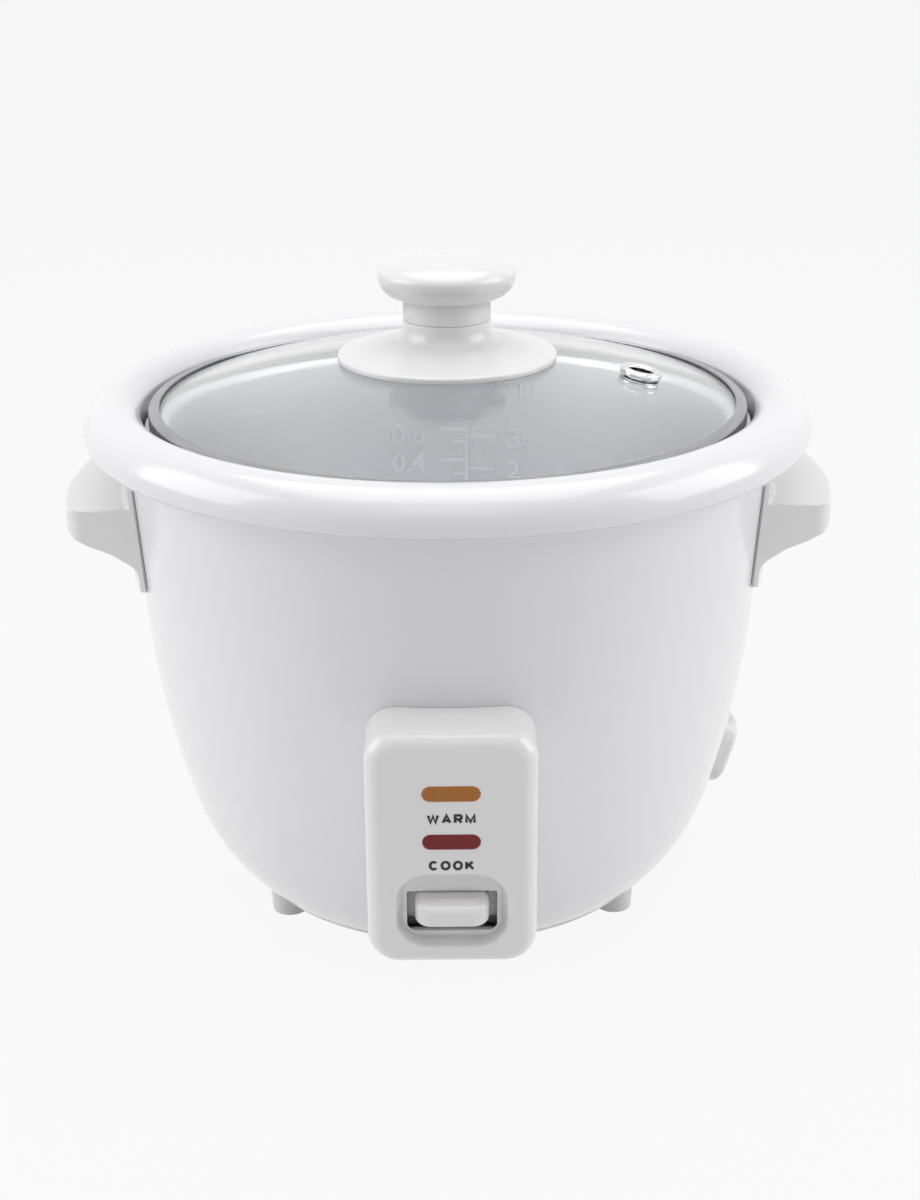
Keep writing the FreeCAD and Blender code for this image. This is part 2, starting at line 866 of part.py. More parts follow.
def lamp_lens(drop):
    z = box_top - drop
    lens = lamp_prism(drop, 0, lamp_proud, box_wall + fit_gap + lamp_lip)
    front = min(lens.Faces, key=lambda face: face.CenterOfMass.y)
    lens = lens.makeFillet(lamp_proud + 0.4, front.Edges)
    back = face_y(z) + box_wall + lamp_height * face_slope + fit_gap
    flange = lamp_prism(drop, lamp_lip, 0, box_wall + fit_gap + lamp_lip)
    flange = flange.cut(block(-lamp_width, lamp_width, 2 * box_face_y, back, 0, box_top))
    return lens.fuse(flange).removeSplitter()


def lamp_bulb(drop):
    z = box_top - drop
    bulb = Part.makeCylinder(bulb_r, bulb_length, V(-bulb_length / 2, bulb_y(z), z), AXIS_X)
    return bulb.makeFillet(bulb_r / 2, [e for e in bulb.Edges if e.Length > bulb_length or e.Closed])


def holder_screw_seats(behind):
    y = holder_front() + behind
    return [(V(x, y, z), AXIS_Y * -1) for x, z in holder_screw_points()]


def lamp_holder():
    y = holder_front()
    low = box_top - cook_lamp_drop - lamp_height
    high = box_top - warm_lamp_drop + lamp_height
    holder = prism(y, y + holder_t, holder_half, low, high, boss_r)
    grooves = []
    for drop in (warm_lamp_drop, cook_lamp_drop):
        z = box_top - drop
        start = V(-holder_half, bulb_y(z), z)
        grooves.append(Part.makeCylinder(bulb_r + fit_gap, 2 * holder_half, start, AXIS_X))
    holes = [screw_hole(seat, way, 2 * holder_t) for seat, way in holder_screw_seats(holder_t)]
    return holder.cut(grooves + holes)


def lamp_holder_screws():
    return [screw(seat, way, holder_t + screw_bite) for seat, way in holder_screw_seats(holder_t)]


def switch_box_screws():
    return [screw(seat, way, box_screw_length() - pin_gap) for seat, way in box_screw_seats()]


# Switch lever

def lever_place(shape):
    """Puts a piece made about the pivot, with its strip level, at the lever's rest tilt."""
    shape = turned(shape, ORIGIN, AXIS_X, -lever_swing)
    shape.translate(V(0, pivot_y, pivot_z))
    return shape


def lever_strip(grow):
    low = strip_above_pivot - strip_t / 2 - grow
    high = strip_above_pivot + strip_t / 2 + grow
    out = -(strip_root_arm + 0.6 * paddle_reach + grow)
    inner = -pivot_y + collar_r
    wide = block(-strip_half - grow, strip_half + grow, out, plunger_arm + strip_half, low, high)
    narrow = block(-strip_end_half - grow, strip_end_half + grow, 0, inner, low, high)
    return wide.fuse(narrow)


def lever_arm():
    strip = lever_strip(0)
    half = strip_half + lever_ear_t
    ears = []
    for x in (-half, strip_half):
        ear = Part.makeCylinder(lever_ear_r, lever_ear_t, V(x, 0, 0), AXIS_X)
        web = block(x, x + lever_ear_t, -lever_ear_r, lever_ear_r, 0, strip_above_pivot + strip_t / 2)
        ears.append(ear.fuse(web))
    arm = strip.fuse(ears).removeSplitter()
    pivot_hole = Part.makeCylinder(pivot_r + pin_gap, 4 * half, V(-2 * half, 0, 0), AXIS_X)
    fork = rod_r + slide_gap
    reach = -pivot_y
    fork_end = Part.makeCylinder(fork, 4 * strip_above_pivot, V(0, reach, 0))
    fork_slot = block(-fork, fork, reach, reach + 2 * collar_r, 0, 4 * strip_above_pivot)
    return lever_place(arm.cut([pivot_hole, fork_end, fork_slot]))


def lever_paddle():
    back = recess_back_y + recess_wall + slide_gap
    front = recess_back_y - paddle_reach
    nose_z = paddle_top - paddle_slope
    under = nose_z - paddle_thick
    root_low = under + 0.1 * paddle_thick
    tongue = Part.makePolygon(
        [
            V(-paddle_half, back, paddle_top),
            V(-paddle_half, recess_back_y, paddle_top),
            V(-paddle_half, front, nose_z),
            V(-paddle_half, front, under),
            V(-paddle_half, recess_back_y, root_low),
            V(-paddle_half, back, root_low),
            V(-paddle_half, back, paddle_top),
        ]
    )
    paddle = Part.Face(tongue).extrude(V(2 * paddle_half, 0, 0))
    upright = [edge.BoundBox for edge in paddle.Edges]
    upright = [box.YMax - front < 1e-6 and box.XLength < 1e-6 for box in upright]
    paddle = paddle.makeFillet(paddle_corner, [e for e, up in zip(paddle.Edges, upright) if up])
    nose = [f for f in paddle.Faces if f.CenterOfMass.y < front + 1.2 * paddle_corner and is_nose(f)]
    rim = [e for f in nose for e in f.Edges if abs(e.BoundBox.ZLength) < 0.9 * paddle_thick]
    paddle = paddle.makeFillet(paddle_edge, rim)
    return paddle.cut(lever_place(lever_strip(fit_gap / 2)))


def is_nose(face):
    """A face of the paddle's upright front and its rounded corners."""
    normal = face.normalAt(0, 0)
    return abs(normal.z) < 1e-6 and normal.y < 1e-6 and face.BoundBox.XLength > 1e-6


def frame_ear_x():
    return strip_half + lever_ear_t + frame_gap


def frame_foot_half():
    return frame_ear_x() + frame_t + fit_gap + 2 * screw_head_r


def frame_screw_seats():
    z = floor_top + frame_t
    x = frame_foot_half() - screw_head_r
    y = frame_back_y() + frame_foot_length - screw_head_r - fit_gap
    return [(V(side * x, y, z), UP * -1) for side in (1, -1)]


def frame_back_y():
    return pivot_y - frame_foot_length * 0.36


def switch_place():
    """Low corner of the microswitch body, whose plunger meets the strip's underside."""
    y = pivot_y + plunger_arm
    strip_low = pivot_z + strip_above_pivot - strip_t / 2 - plunger_arm * math.tan(swing)
    top = strip_low - rest_gap - fit_gap - plunger_show
    x = frame_ear_x() - fit_gap - switch_width
    return V(x, y - switch_length / 2, top - switch_height)


def switch_frame():
    x = frame_ear_x()
    back = frame_back_y()
    foot_plate = block(
        -frame_foot_half(),
        frame_foot_half(),
        back,
        back + frame_foot_length,
        floor_top,
        floor_top + frame_t,
    )
    ears = []
    for low in (x, -x - frame_t):
        web = block(low, low + frame_t, pivot_y - lever_ear_r, pivot_y + lever_ear_r, floor_top, pivot_z)
        ears.append(web)
        ears.append(Part.makeCylinder(lever_ear_r, frame_t, V(low, pivot_y, pivot_z), AXIS_X))
    corner = switch_place()
    side = block(x, x + frame_t, pivot_y, corner.y + switch_length, corner.z, corner.z + switch_height)
    tie = block(x, x + frame_t, back, pivot_y, floor_top, corner.z + switch_height)
    frame = foot_plate.fuse(ears + [side, tie]).removeSplitter()
    cuts = [Part.makeCylinder(pivot_r + pin_gap, 4 * x, V(-2 * x, pivot_y, pivot_z), AXIS_X)]
    cuts += [screw_hole(seat, way, 2 * frame_t) for seat, way in frame_screw_seats()]
    cuts += [screw_hole(seat, way, switch_width) for seat, way in switch_screw_seats()]
    return frame.cut(cuts)


def switch_frame_screws():
    length = frame_t + sheet_t
    return [screw(seat, way, length) for seat, way in frame_screw_seats()]


def lever_pivot_pin():
    x = frame_ear_x() + frame_t
    pin = Part.makeCylinder(pivot_r, 2 * x, V(-x, pivot_y, pivot_z), AXIS_X)
    heads = [
        Part.makeCylinder(pivot_r + pivot_head, frame_t, V(start, pivot_y, pivot_z), AXIS_X)
        for start in (x, -x - frame_t)
    ]
    return pin.fuse(heads).removeSplitter()


def switch_screw_seats():
    corner = switch_place()
    z = corner.z + switch_height / 3
    middle = corner.y + switch_length / 2
    x = frame_ear_x() + frame_t
    return [(V(x, middle + s * switch_hole_spacing / 2, z), AXIS_X * -1) for s in (1, -1)]


def microswitch_body():
    corner = switch_place()
    body = Part.makeBox(switch_width, switch_length, switch_height, corner)
    cuts = [screw_hole(seat, way, 2 * switch_width) for seat, way in switch_screw_seats()]
    cuts.append(Part.makeCylinder(plunger_r + 2 * pin_gap, 3 * plunger_show, plunger_base(), UP))
    x = corner.x + (switch_width - tab_width) / 2
    tab_starts = [corner.y + switch_length * share for share in (0.2, 0.5, 0.8)]
    tabs = [
        block(x, x + tab_width, y, y + tab_t, corner.z - tab_length, corner.z)
        for y in tab_starts
    ]
    return body.cut(cuts).fuse(tabs).removeSplitter()


def plunger_base():
    corner = switch_place()
    return V(0, pivot_y + plunger_arm, corner.z + switch_height - 2 * plunger_show)


def microswitch_plunger():
    plunger = Part.makeCylinder(plunger_r, 3 * plunger_show - pin_gap, plunger_base() + UP * pin_gap)
    top = max(plunger.Edges, key=lambda e: e.CenterOfMass.z)
    return plunger.makeFillet(plunger_r / 3, [top])


def microswitch_screws():
    return [screw(seat, way, frame_t + screw_bite) for seat, way in switch_screw_seats()]


# Heating plate and element

def ring_points(radius, azimuths, z):
    return [polar(radius, a, z) for a in azimuths]


def sleeve_screw_points(z):
    middle = (sleeve_flange_r + sleeve_inner_r + sleeve_t) / 2
    return ring_points(middle, (30.0, 150.0, 270.0), z)


def heating_plate():
    chamfer = plate_t / 4
    plate = spin(
        (cap_r + slide_gap, plate_base),
        (plate_r - chamfer, plate_base),
        (plate_r, plate_base + chamfer),
        (plate_r, plate_top),
        (cap_r + slide_gap, plate_top),
    )
    cuts = [Part.makeTorus(element_ring_r, element_r + fit_gap, V(0, 0, plate_base))]
    cuts += [
        Part.makeCylinder(spigot_r + pin_gap, spigot_length + pin_gap, point)
        for point in ring_points(foot_circle_r, foot_azimuths.values(), plate_base)
    ]
    cuts += [screw_hole(point, UP, screw_bite) for point in sleeve_screw_points(plate_base)]
    cuts += [screw_hole(point, UP, screw_bite) for point in (warmer_point(), clip_point())]
    return plate.cut(cuts)


def element_end(side):
    return inlet_azimuth + side * element_gap_angle / 2


def heating_element():
    sweep = 360 - element_gap_angle
    ring = Part.makeTorus(element_ring_r, element_r, V(0, 0, plate_base), UP, -180, 180, sweep)
    ring.rotate(ORIGIN, UP, element_end(1))
    pieces = []
    for side in (1, -1):
        end = polar(element_ring_r, element_end(side), plate_base)
        pieces.append(Part.makeSphere(element_r, end))
        pieces.append(Part.makeCylinder(element_r, element_leg, end, UP * -1))
        pieces.append(Part.makeCylinder(element_pin_r, element_leg + element_pin, end, UP * -1))
    return ring.fuse(pieces).removeSplitter()


# Sensor and magnet unit

def sensor_cap():
    low = cap_top - cap_height
    return spin(
        (0, cap_top),
        (cap_r, cap_top),
        (cap_r, low),
        (cap_r - cap_t, low),
        (cap_r - cap_t, cap_top - cap_t),
        (0, cap_top - cap_t),
    )


def ferrite_core():
    return Part.makeCylinder(ferrite_r, ferrite_t, V(0, 0, ferrite_base))


def permanent_magnet():
    return Part.makeCylinder(magnet_r, magnet_t, V(0, 0, magnet_base))


def magnet_rod():
    groove = strip_t / 2 + fork_room
    top_collar = tip_z + groove
    low_collar = tip_z - groove - collar_t
    return spin(
        (0, magnet_base),
        (magnet_seat_r, magnet_base),
        (magnet_seat_r, magnet_seat_z),
        (rod_r, magnet_seat_z),
        (rod_r, top_collar + collar_t),
        (collar_r, top_collar + collar_t),
        (collar_r, top_collar),
        (rod_r, top_collar),
        (rod_r, low_collar + collar_t),
        (collar_r, low_collar + collar_t),
        (collar_r, low_collar),
        (0, low_collar),
    )


def sensor_sleeve():
    outer = sleeve_inner_r + sleeve_t
    base = sleeve_floor - sleeve_floor_t
    flange_low = plate_base - sleeve_flange_t
    sleeve = spin(
        (sleeve_inner_r, plate_base),
        (sleeve_flange_r, plate_base),
        (sleeve_flange_r, flange_low),
        (outer, flange_low),
        (outer, base),
        (rod_r + slide_gap, base),
        (rod_r + slide_gap, sleeve_floor),
        (sleeve_inner_r, sleeve_floor),
    )
    return sleeve.cut([screw_hole(p, UP, screw_bite) for p in sleeve_screw_points(flange_low)])


def sleeve_screws():
    low = plate_base - sleeve_flange_t
    length = sleeve_flange_t + screw_bite - pin_gap
    return [screw(p, UP, length) for p in sleeve_screw_points(low)]


def coil(ring_r, low, high):
    """Compression spring between two levels, as a round wire carried along a helix."""
    start = low + spring_wire_r + pin_gap
    rise = high - low - 2 * (spring_wire_r + pin_gap)
    path = Part.makeHelix(rise / spring_turns, rise, ring_r)
    path.translate(V(0, 0, start))
    wire = Part.Wire([Part.makeCircle(spring_wire_r, V(ring_r, 0, start), AXIS_Y)])
    return Part.Wire(path.Edges).makePipeShell([wire], True, True)


def release_spring():
    return coil((magnet_r + magnet_seat_r) / 2 + spring_wire_r, magnet_base, ferrite_base)


def sensor_spring():
    return coil(cap_r - cap_t / 2, sleeve_floor, cap_top - cap_height)


# Thermostat and fuse under the plate

def under_plate_r():
    return (element_ring_r + element_r + plate_r) / 2


def warmer_point():
    return polar(under_plate_r(), warmer_azimuth, plate_base)


def clip_point():
    return polar(under_plate_r(), fuse_azimuth, plate_base)


def keep_warm_thermostat():
    place = warmer_point()
    body = Part.makeCylinder(warmer_r, warmer_height, place, UP * -1)
    stud = Part.makeCylinder(screw_r, screw_bite - pin_gap, place)
    tabs = []
    low = -warmer_height - tab_length
    for y in (-tab_width - tab_t, tab_t):
        tab = block(-tab_t / 2, tab_t / 2, y, y + tab_width, low, -warmer_height)
        tab.translate(place)
        tabs.append(tab)
    return body.fuse([stud] + tabs).removeSplitter()


def fuse_place(shape):
    """Sets a piece made below the origin, along Y, under the plate at the fuse."""
    shape = turned(shape, ORIGIN, UP, fuse_azimuth)
    shape.translate(clip_point())
    return shape


def fuse_drop():
    return -fuse_r - fit_gap - clip_t


def thermal_fuse():
    body = Part.makeCylinder(fuse_r, fuse_length, V(0, -fuse_length / 2, fuse_drop()), AXIS_Y)
    tails = Part.makeCylinder(fuse_r / 4, 2 * fuse_length, V(0, -fuse_length, fuse_drop()), AXIS_Y)
    return fuse_place(body.fuse(tails).removeSplitter())


def fuse_clip():
    half = fuse_r + fit_gap + clip_t
    saddle = block(-half, half, -clip_width / 2, clip_width / 2, -2 * half, 0)
    channel = Part.makeCylinder(fuse_r + fit_gap, clip_width, V(0, -clip_width / 2, fuse_drop()), AXIS_Y)
    stud = Part.makeCylinder(screw_r, screw_bite - pin_gap, ORIGIN)
    return fuse_place(saddle.cut(channel).fuse(stud).removeSplitter())


# Power inlet, made with +X out of the wall and z = 0 at its middle

inlet_z = floor_z + inlet_height


def inlet_tilt():
    """Lean of the wall at the inlet, so that the bezel lies flat on it."""
    run = wall_r(inlet_z + inlet_tall) - wall_r(inlet_z - inlet_tall)
    return math.degrees(math.atan2(run, 2 * inlet_tall))


def inlet_place(shape):
    shape = turned(shape, ORIGIN, AXIS_Y, inlet_tilt())
    shape.translate(V(wall_r(inlet_z), 0, inlet_z))
    return turned(shape, ORIGIN, UP, inlet_azimuth)


def inlet_prism(x0, x1, half, tall, corner):
    side = prism(0, x0 - x1, half, -tall, tall, corner)
    side.rotate(ORIGIN, UP, 90)
    side.translate(V(x0, 0, 0))
    return side


def inlet_neck(grow):
    half = socket_half + socket_floor + grow
    tall = socket_tall + socket_floor + grow
    return inlet_prism(-inlet_neck_in, inlet_out / 2, half, tall, socket_floor + grow)


def inlet_housing():
    bezel = inlet_prism(-inlet_out, inlet_out, inlet_half, inlet_tall, inlet_corner)
    front = max(bezel.Faces, key=lambda face: face.CenterOfMass.x)
    bezel = bezel.makeFillet(inlet_out / 3, front.Edges)
    bezel = inlet_place(bezel).cut(wall_blank(fit_gap))
    housing = bezel.fuse(inlet_place(inlet_neck(0)))
    socket_start = socket_floor - inlet_neck_in
    socket = inlet_prism(socket_start, 2 * inlet_out, socket_half, socket_tall, socket_floor)
    cuts = [inlet_place(socket)]
    cuts += [inlet_place(prong_hole) for prong_hole in prong_rods(pin_gap)]
    return housing.cut(cuts).removeSplitter()


def prong_points():
    side = prong_spacing / 2
    return [V(0, side, -prong_r), V(0, -side, -prong_r), V(0, 0, prong_r + earth_rise)]


def prong_rods(grow):
    start = AXIS_X * (-inlet_neck_in - prong_tail)
    reach = inlet_neck_in + prong_tail + inlet_out / 2
    return [Part.makeCylinder(prong_r + grow, reach, p + start, AXIS_X) for p in prong_points()]


def inlet_pins():
    return [inlet_place(prong) for prong in prong_rods(0)]


# Build, one file for each piece or group of like pieces

os.makedirs("parts", exist_ok=True)

pieces = {
    "outer_shell": outer_shell(),
    "top_rim": top_rim(),
    "bottom_cover": bottom_cover(),
    "foot_screws": foot_screws(),
    "heater_posts": heater_posts(),
    "inner_pot": inner_pot(),
    "lid_glass": lid_glass(),
    "lid_rim_band": lid_rim_band(),
    "knob_seat": knob_seat(),
    "knob_grip": knob_grip(),
    "knob_washer": knob_washer(),
    "knob_screw": knob_screw(),
    "steam_vent_eyelet": steam_vent_eyelet(),
    "handle_left": handle(-1),
    "handle_right": handle(1),
    "handle_screws": handle_screws(),
    "switch_box": switch_box(),
    "switch_box_screws": switch_box_screws(),
    "warm_lamp_lens": lamp_lens(warm_lamp_drop),
    "cook_lamp_lens": lamp_lens(cook_lamp_drop),
    "warm_lamp_bulb": lamp_bulb(warm_lamp_drop),
    "cook_lamp_bulb": lamp_bulb(cook_lamp_drop),
    "lamp_holder": lamp_holder(),
    "lamp_holder_screws": lamp_holder_screws(),
    "lever_arm": lever_arm(),
    "lever_paddle": lever_paddle(),
    "lever_pivot_pin": lever_pivot_pin(),
    "switch_frame": switch_frame(),
    "switch_frame_screws": switch_frame_screws(),
    "microswitch_body": microswitch_body(),
    "microswitch_plunger": microswitch_plunger(),
    "microswitch_screws": microswitch_screws(),
    "heating_plate": heating_plate(),
    "heating_element": heating_element(),
    "sensor_cap": sensor_cap(),
    "ferrite_core": ferrite_core(),
    "sensor_spring": sensor_spring(),
    "sensor_sleeve": sensor_sleeve(),
    "sleeve_screws": sleeve_screws(),
    "permanent_magnet": permanent_magnet(),
    "magnet_rod": magnet_rod(),
    "release_spring": release_spring(),
    "keep_warm_thermostat": keep_warm_thermostat(),
    "thermal_fuse": thermal_fuse(),
    "fuse_clip": fuse_clip(),
    "inlet_housing": inlet_housing(),
    "inlet_pins": inlet_pins(),
}
for place, azimuth in foot_azimuths.items():
    pieces["foot_" + place] = foot(azimuth)

for name, shape in pieces.items():
    if isinstance(shape, list):
        shape = Part.makeCompound(shape)
    shape.exportStep("parts/" + name + ".step")
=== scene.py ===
import math

import bmesh
import bpy
import numpy as np
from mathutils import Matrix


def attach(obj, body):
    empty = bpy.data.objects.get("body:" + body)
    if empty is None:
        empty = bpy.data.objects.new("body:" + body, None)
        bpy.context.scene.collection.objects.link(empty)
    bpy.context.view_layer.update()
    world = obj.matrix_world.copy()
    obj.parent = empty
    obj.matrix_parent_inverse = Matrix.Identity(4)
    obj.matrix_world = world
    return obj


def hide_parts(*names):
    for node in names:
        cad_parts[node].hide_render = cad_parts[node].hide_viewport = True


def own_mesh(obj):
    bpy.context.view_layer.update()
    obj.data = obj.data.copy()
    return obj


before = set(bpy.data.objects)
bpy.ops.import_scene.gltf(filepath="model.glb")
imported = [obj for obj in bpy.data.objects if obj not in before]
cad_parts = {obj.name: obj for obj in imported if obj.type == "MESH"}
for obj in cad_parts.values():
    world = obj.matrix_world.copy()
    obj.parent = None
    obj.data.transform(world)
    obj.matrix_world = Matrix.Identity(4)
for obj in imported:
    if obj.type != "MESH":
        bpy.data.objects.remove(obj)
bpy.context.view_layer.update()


# Bottom cover, feet, stand-off posts and their screws: stamped and turned steel under three moulded feet.
# One long screw through each foot pulls the cover and the shell's floor against a post.
# The solids are right as they are, so they only get their finishes.
def new_material(name):
    """Empty node material: returns the material, its node tree and its Principled shader."""
    material = bpy.data.materials.new(name)
    material.use_nodes = True
    tree = material.node_tree
    return material, tree, tree.nodes["Principled BSDF"]


def object_pattern(tree, kind, scale, stretch=(1, 1, 1), turn=(0, 0, 0), **settings):
    """A texture node of the given kind on Object coordinates, stretched and turned by a Mapping node."""
    place = tree.nodes.new("ShaderNodeTexCoord")
    mapping = tree.nodes.new("ShaderNodeMapping")
    mapping.inputs["Scale"].default_value = stretch
    mapping.inputs["Rotation"].default_value = turn
    pattern = tree.nodes.new(kind)
    pattern.inputs["Scale"].default_value = scale
    for key, value in settings.items():
        pattern.inputs[key.replace("_", " ").title()].default_value = value
    tree.links.new(place.outputs["Object"], mapping.inputs["Vector"])
    tree.links.new(mapping.outputs["Vector"], pattern.inputs["Vector"])
    return pattern


def spread(tree, source, low, high, target):
    """Maps a pattern's 0 to 1 onto low to high and feeds a socket."""
    step = tree.nodes.new("ShaderNodeMapRange")
    step.inputs["To Min"].default_value = low
    step.inputs["To Max"].default_value = high
    tree.links.new(source, step.inputs["Value"])
    tree.links.new(step.outputs["Result"], target)


def shades(tree, source, dark, light, target):
    """Blends two colours by a pattern and feeds a colour socket."""
    ramp = tree.nodes.new("ShaderNodeValToRGB")
    ramp.color_ramp.elements[0].position = 0.2
    ramp.color_ramp.elements[1].position = 0.8
    ramp.color_ramp.interpolation = "EASE"
    ramp.color_ramp.elements[0].color = (*dark, 1)
    ramp.color_ramp.elements[1].color = (*light, 1)
    tree.links.new(source, ramp.inputs["Fac"])
    tree.links.new(ramp.outputs["Color"], target)


def relief(tree, source, depth, shader):
    """Raises a surface by a pattern, depth in metres."""
    bump = tree.nodes.new("ShaderNodeBump")
    bump.inputs["Distance"].default_value = depth
    tree.links.new(source, bump.inputs["Height"])
    tree.links.new(bump.outputs["Normal"], shader.inputs["Normal"])


def grained(name, dark, light, rough, scale, depth, metal=0.0, stretch=(1, 1, 1)):
    """A finish with one noise that shifts its colour, its roughness and its relief together."""
    material, tree, shader = new_material(name)
    grain = object_pattern(tree, "ShaderNodeTexNoise", scale, stretch, detail=4.0)
    shades(tree, grain.outputs["Fac"], dark, light, shader.inputs["Base Color"])
    spread(tree, grain.outputs["Fac"], rough[0], rough[1], shader.inputs["Roughness"])
    relief(tree, grain.outputs["Fac"], depth, shader)
    shader.inputs["Metallic"].default_value = metal
    return material


def dress(material, *nodes):
    """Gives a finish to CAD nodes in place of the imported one."""
    for node in nodes:
        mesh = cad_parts[node].data
        mesh.materials.clear()
        mesh.materials.append(material)


zinc_plate = grained("zinc_plate", (0.50, 0.50, 0.48), (0.66, 0.66, 0.63), (0.24, 0.42), 420, 0.00002, 1.0)
galvanised_sheet = grained(
    "galvanised_sheet", (0.46, 0.47, 0.48), (0.62, 0.63, 0.64), (0.30, 0.50), 90, 0.00003, 1.0
)
satin_foot = grained("satin_foot", (0.74, 0.73, 0.73), (0.80, 0.79, 0.79), (0.36, 0.50), 700, 0.00003)
dress(satin_foot, "foot_front_left", "foot_front_right", "foot_rear")
dress(galvanised_sheet, "bottom_cover")
dress(zinc_plate, "foot_screws", "heater_posts")


# Outer shell: one deep-drawn steel drum with a rounded heel and a flat top flange, painted gloss white.
# The section is the CAD wall: a leaning straight top, a long belly arc and a tighter heel arc.
# A slot for the lever is cut through its front.
def skin(name, points, body, material, replaces=(), along=False, ends=(False, False)):
    """Mesh over a grid of points in millimetres. Columns close on themselves, rows do where along is set,
    and ends fills the first or last row with one face."""
    rows, columns = points.shape[:2]
    count = rows * columns
    index = np.arange(count).reshape(rows, columns)
    wide = np.concatenate([index, index[:, :1]], axis=1)
    wide = np.concatenate([wide, wide[:1]], axis=0) if along else wide
    quads = np.stack([wide[:-1, :-1], wide[:-1, 1:], wide[1:, 1:], wide[1:, :-1]], axis=-1).reshape(-1, 4)
    faces = quads.tolist()
    faces += [index[0, ::-1].tolist()] if ends[0] else []
    faces += [index[-1].tolist()] if ends[1] else []
    mesh = bpy.data.meshes.new(name)
    mesh.from_pydata((points.reshape(-1, 3) * 0.001).tolist(), [], faces)
    mesh.polygons.foreach_set("use_smooth", np.arange(len(faces)) < len(quads))
    work = bmesh.new()
    work.from_mesh(mesh)
    bmesh.ops.remove_doubles(work, verts=work.verts, dist=1e-7)
    bmesh.ops.recalc_face_normals(work, faces=work.faces)
    work.to_mesh(mesh)
    work.free()
    mesh.materials.append(material)
    piece = bpy.data.objects.new(name, mesh)
    bpy.context.scene.collection.objects.link(piece)
    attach(piece, body)
    if replaces:
        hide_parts(*replaces)
    return piece


def turn_section(section, segments):
    """Carries a section of (radius, height) points round the Z axis: rows along it, columns by angle."""
    angle = np.linspace(0, 2 * np.pi, segments, endpoint=False)
    radius, height = section[:, :1], section[:, 1:]
    flat = np.ones_like(angle)
    return np.stack([radius * np.cos(angle), radius * np.sin(angle), height * flat], axis=-1)


def rounded(corners, steps=7, closed=True):
    """A line through corners given as (a, b, radius). Each corner becomes an arc tangent to both sides."""
    spots = np.array(corners, float)
    xy, radius = spots[:, :2], spots[:, 2]
    if closed:
        before, after = np.roll(xy, 1, axis=0), np.roll(xy, -1, axis=0)
    else:
        before = np.concatenate([2 * xy[:1] - xy[1:2], xy[:-1]])
        after = np.concatenate([xy[1:], 2 * xy[-1:] - xy[-2:-1]])
    into = (xy - before) / np.linalg.norm(xy - before, axis=1, keepdims=True)
    out = (after - xy) / np.linalg.norm(after - xy, axis=1, keepdims=True)
    cross = into[:, 0] * out[:, 1] - into[:, 1] * out[:, 0]
    bend = np.arctan2(cross, np.sum(into * out, axis=1))
    reach = radius * np.tan(np.abs(bend) / 2)
    start = xy - into * reach[:, None]
    side = np.stack([-into[:, 1], into[:, 0]], axis=1) * np.sign(bend)[:, None]
    share = np.linspace(0, 1, steps)
    sweep = np.abs(bend)[:, None] * share
    ahead = radius[:, None] * np.sin(sweep)
    aside = radius[:, None] * (1 - np.cos(sweep))
    line = start[:, None] + into[:, None] * ahead[..., None] + side[:, None] * aside[..., None]
    keep = np.ones((len(xy), steps), dtype=bool)
    keep[reach < 1e-9, 1:] = False
    return line[keep]


def lengths(line):
    """Length of a line from its start to each of its points."""
    return np.concatenate([[0], np.cumsum(np.linalg.norm(np.diff(line, axis=0), axis=1))])


def at_lengths(line, run, places):
    """Points of a flat line at the given lengths along it."""
    return np.stack([np.interp(places, run, line[:, 0]), np.interp(places, run, line[:, 1])], axis=1)


wall_lean, belly_lean, heel_lean = np.radians([3.9, 16.7, 47.6])
floor_level, heel_level, belly_level, flange_level = 9.2, 36.6, 98.7, 152.2
wall_top_radius, sheet, flange_bend = 98.9, 0.8, 2.0
belly_bend = (belly_level - heel_level) / (np.sin(belly_lean) - np.sin(wall_lean))
heel_bend = (heel_level - floor_level) / (np.sin(heel_lean) - np.sin(belly_lean))
belly_start = wall_top_radius - (flange_level - belly_level) * np.tan(wall_lean)
belly_axis = (belly_start - belly_bend * np.cos(wall_lean), belly_level + belly_bend * np.sin(wall_lean))
heel_start = belly_axis[0] + belly_bend * np.cos(belly_lean)
heel_axis = (heel_start - heel_bend * np.cos(belly_lean), heel_level + heel_bend * np.sin(belly_lean))


def wall_radius(height, inset=0.0):
    """Radius of the drum's wall at a height: a straight lean, then the belly arc, then the heel arc."""
    height = np.asarray(height, float)
    lean = wall_top_radius - (flange_level - height) * np.tan(wall_lean) - inset / np.cos(wall_lean)
    belly = belly_axis[0] + np.sqrt(np.maximum((belly_bend - inset) ** 2 - (height - belly_axis[1]) ** 2, 0))
    heel = heel_axis[0] + np.sqrt(np.maximum((heel_bend - inset) ** 2 - (height - heel_axis[1]) ** 2, 0))
    return np.where(height >= belly_level, lean, np.where(height >= heel_level, belly, heel))


def gloss_white(name, colour, rough, peel):
    """White gloss finish: faint patches in its roughness, and the shallow ripple of paint or a mould."""
    material, tree, shader = new_material(name)
    patches = object_pattern(tree, "ShaderNodeTexNoise", 14, detail=3.0)
    shader.inputs["Base Color"].default_value = (*colour, 1)
    spread(tree, patches.outputs["Fac"], rough * 0.9, rough * 1.15, shader.inputs["Roughness"])
    ripple = object_pattern(tree, "ShaderNodeTexNoise", 380, detail=2.0)
    relief(tree, ripple.outputs["Fac"], peel, shader)
    shader.inputs["Coat Weight"].default_value = 0.35
    shader.inputs["Coat Roughness"].default_value = 0.08
    return material


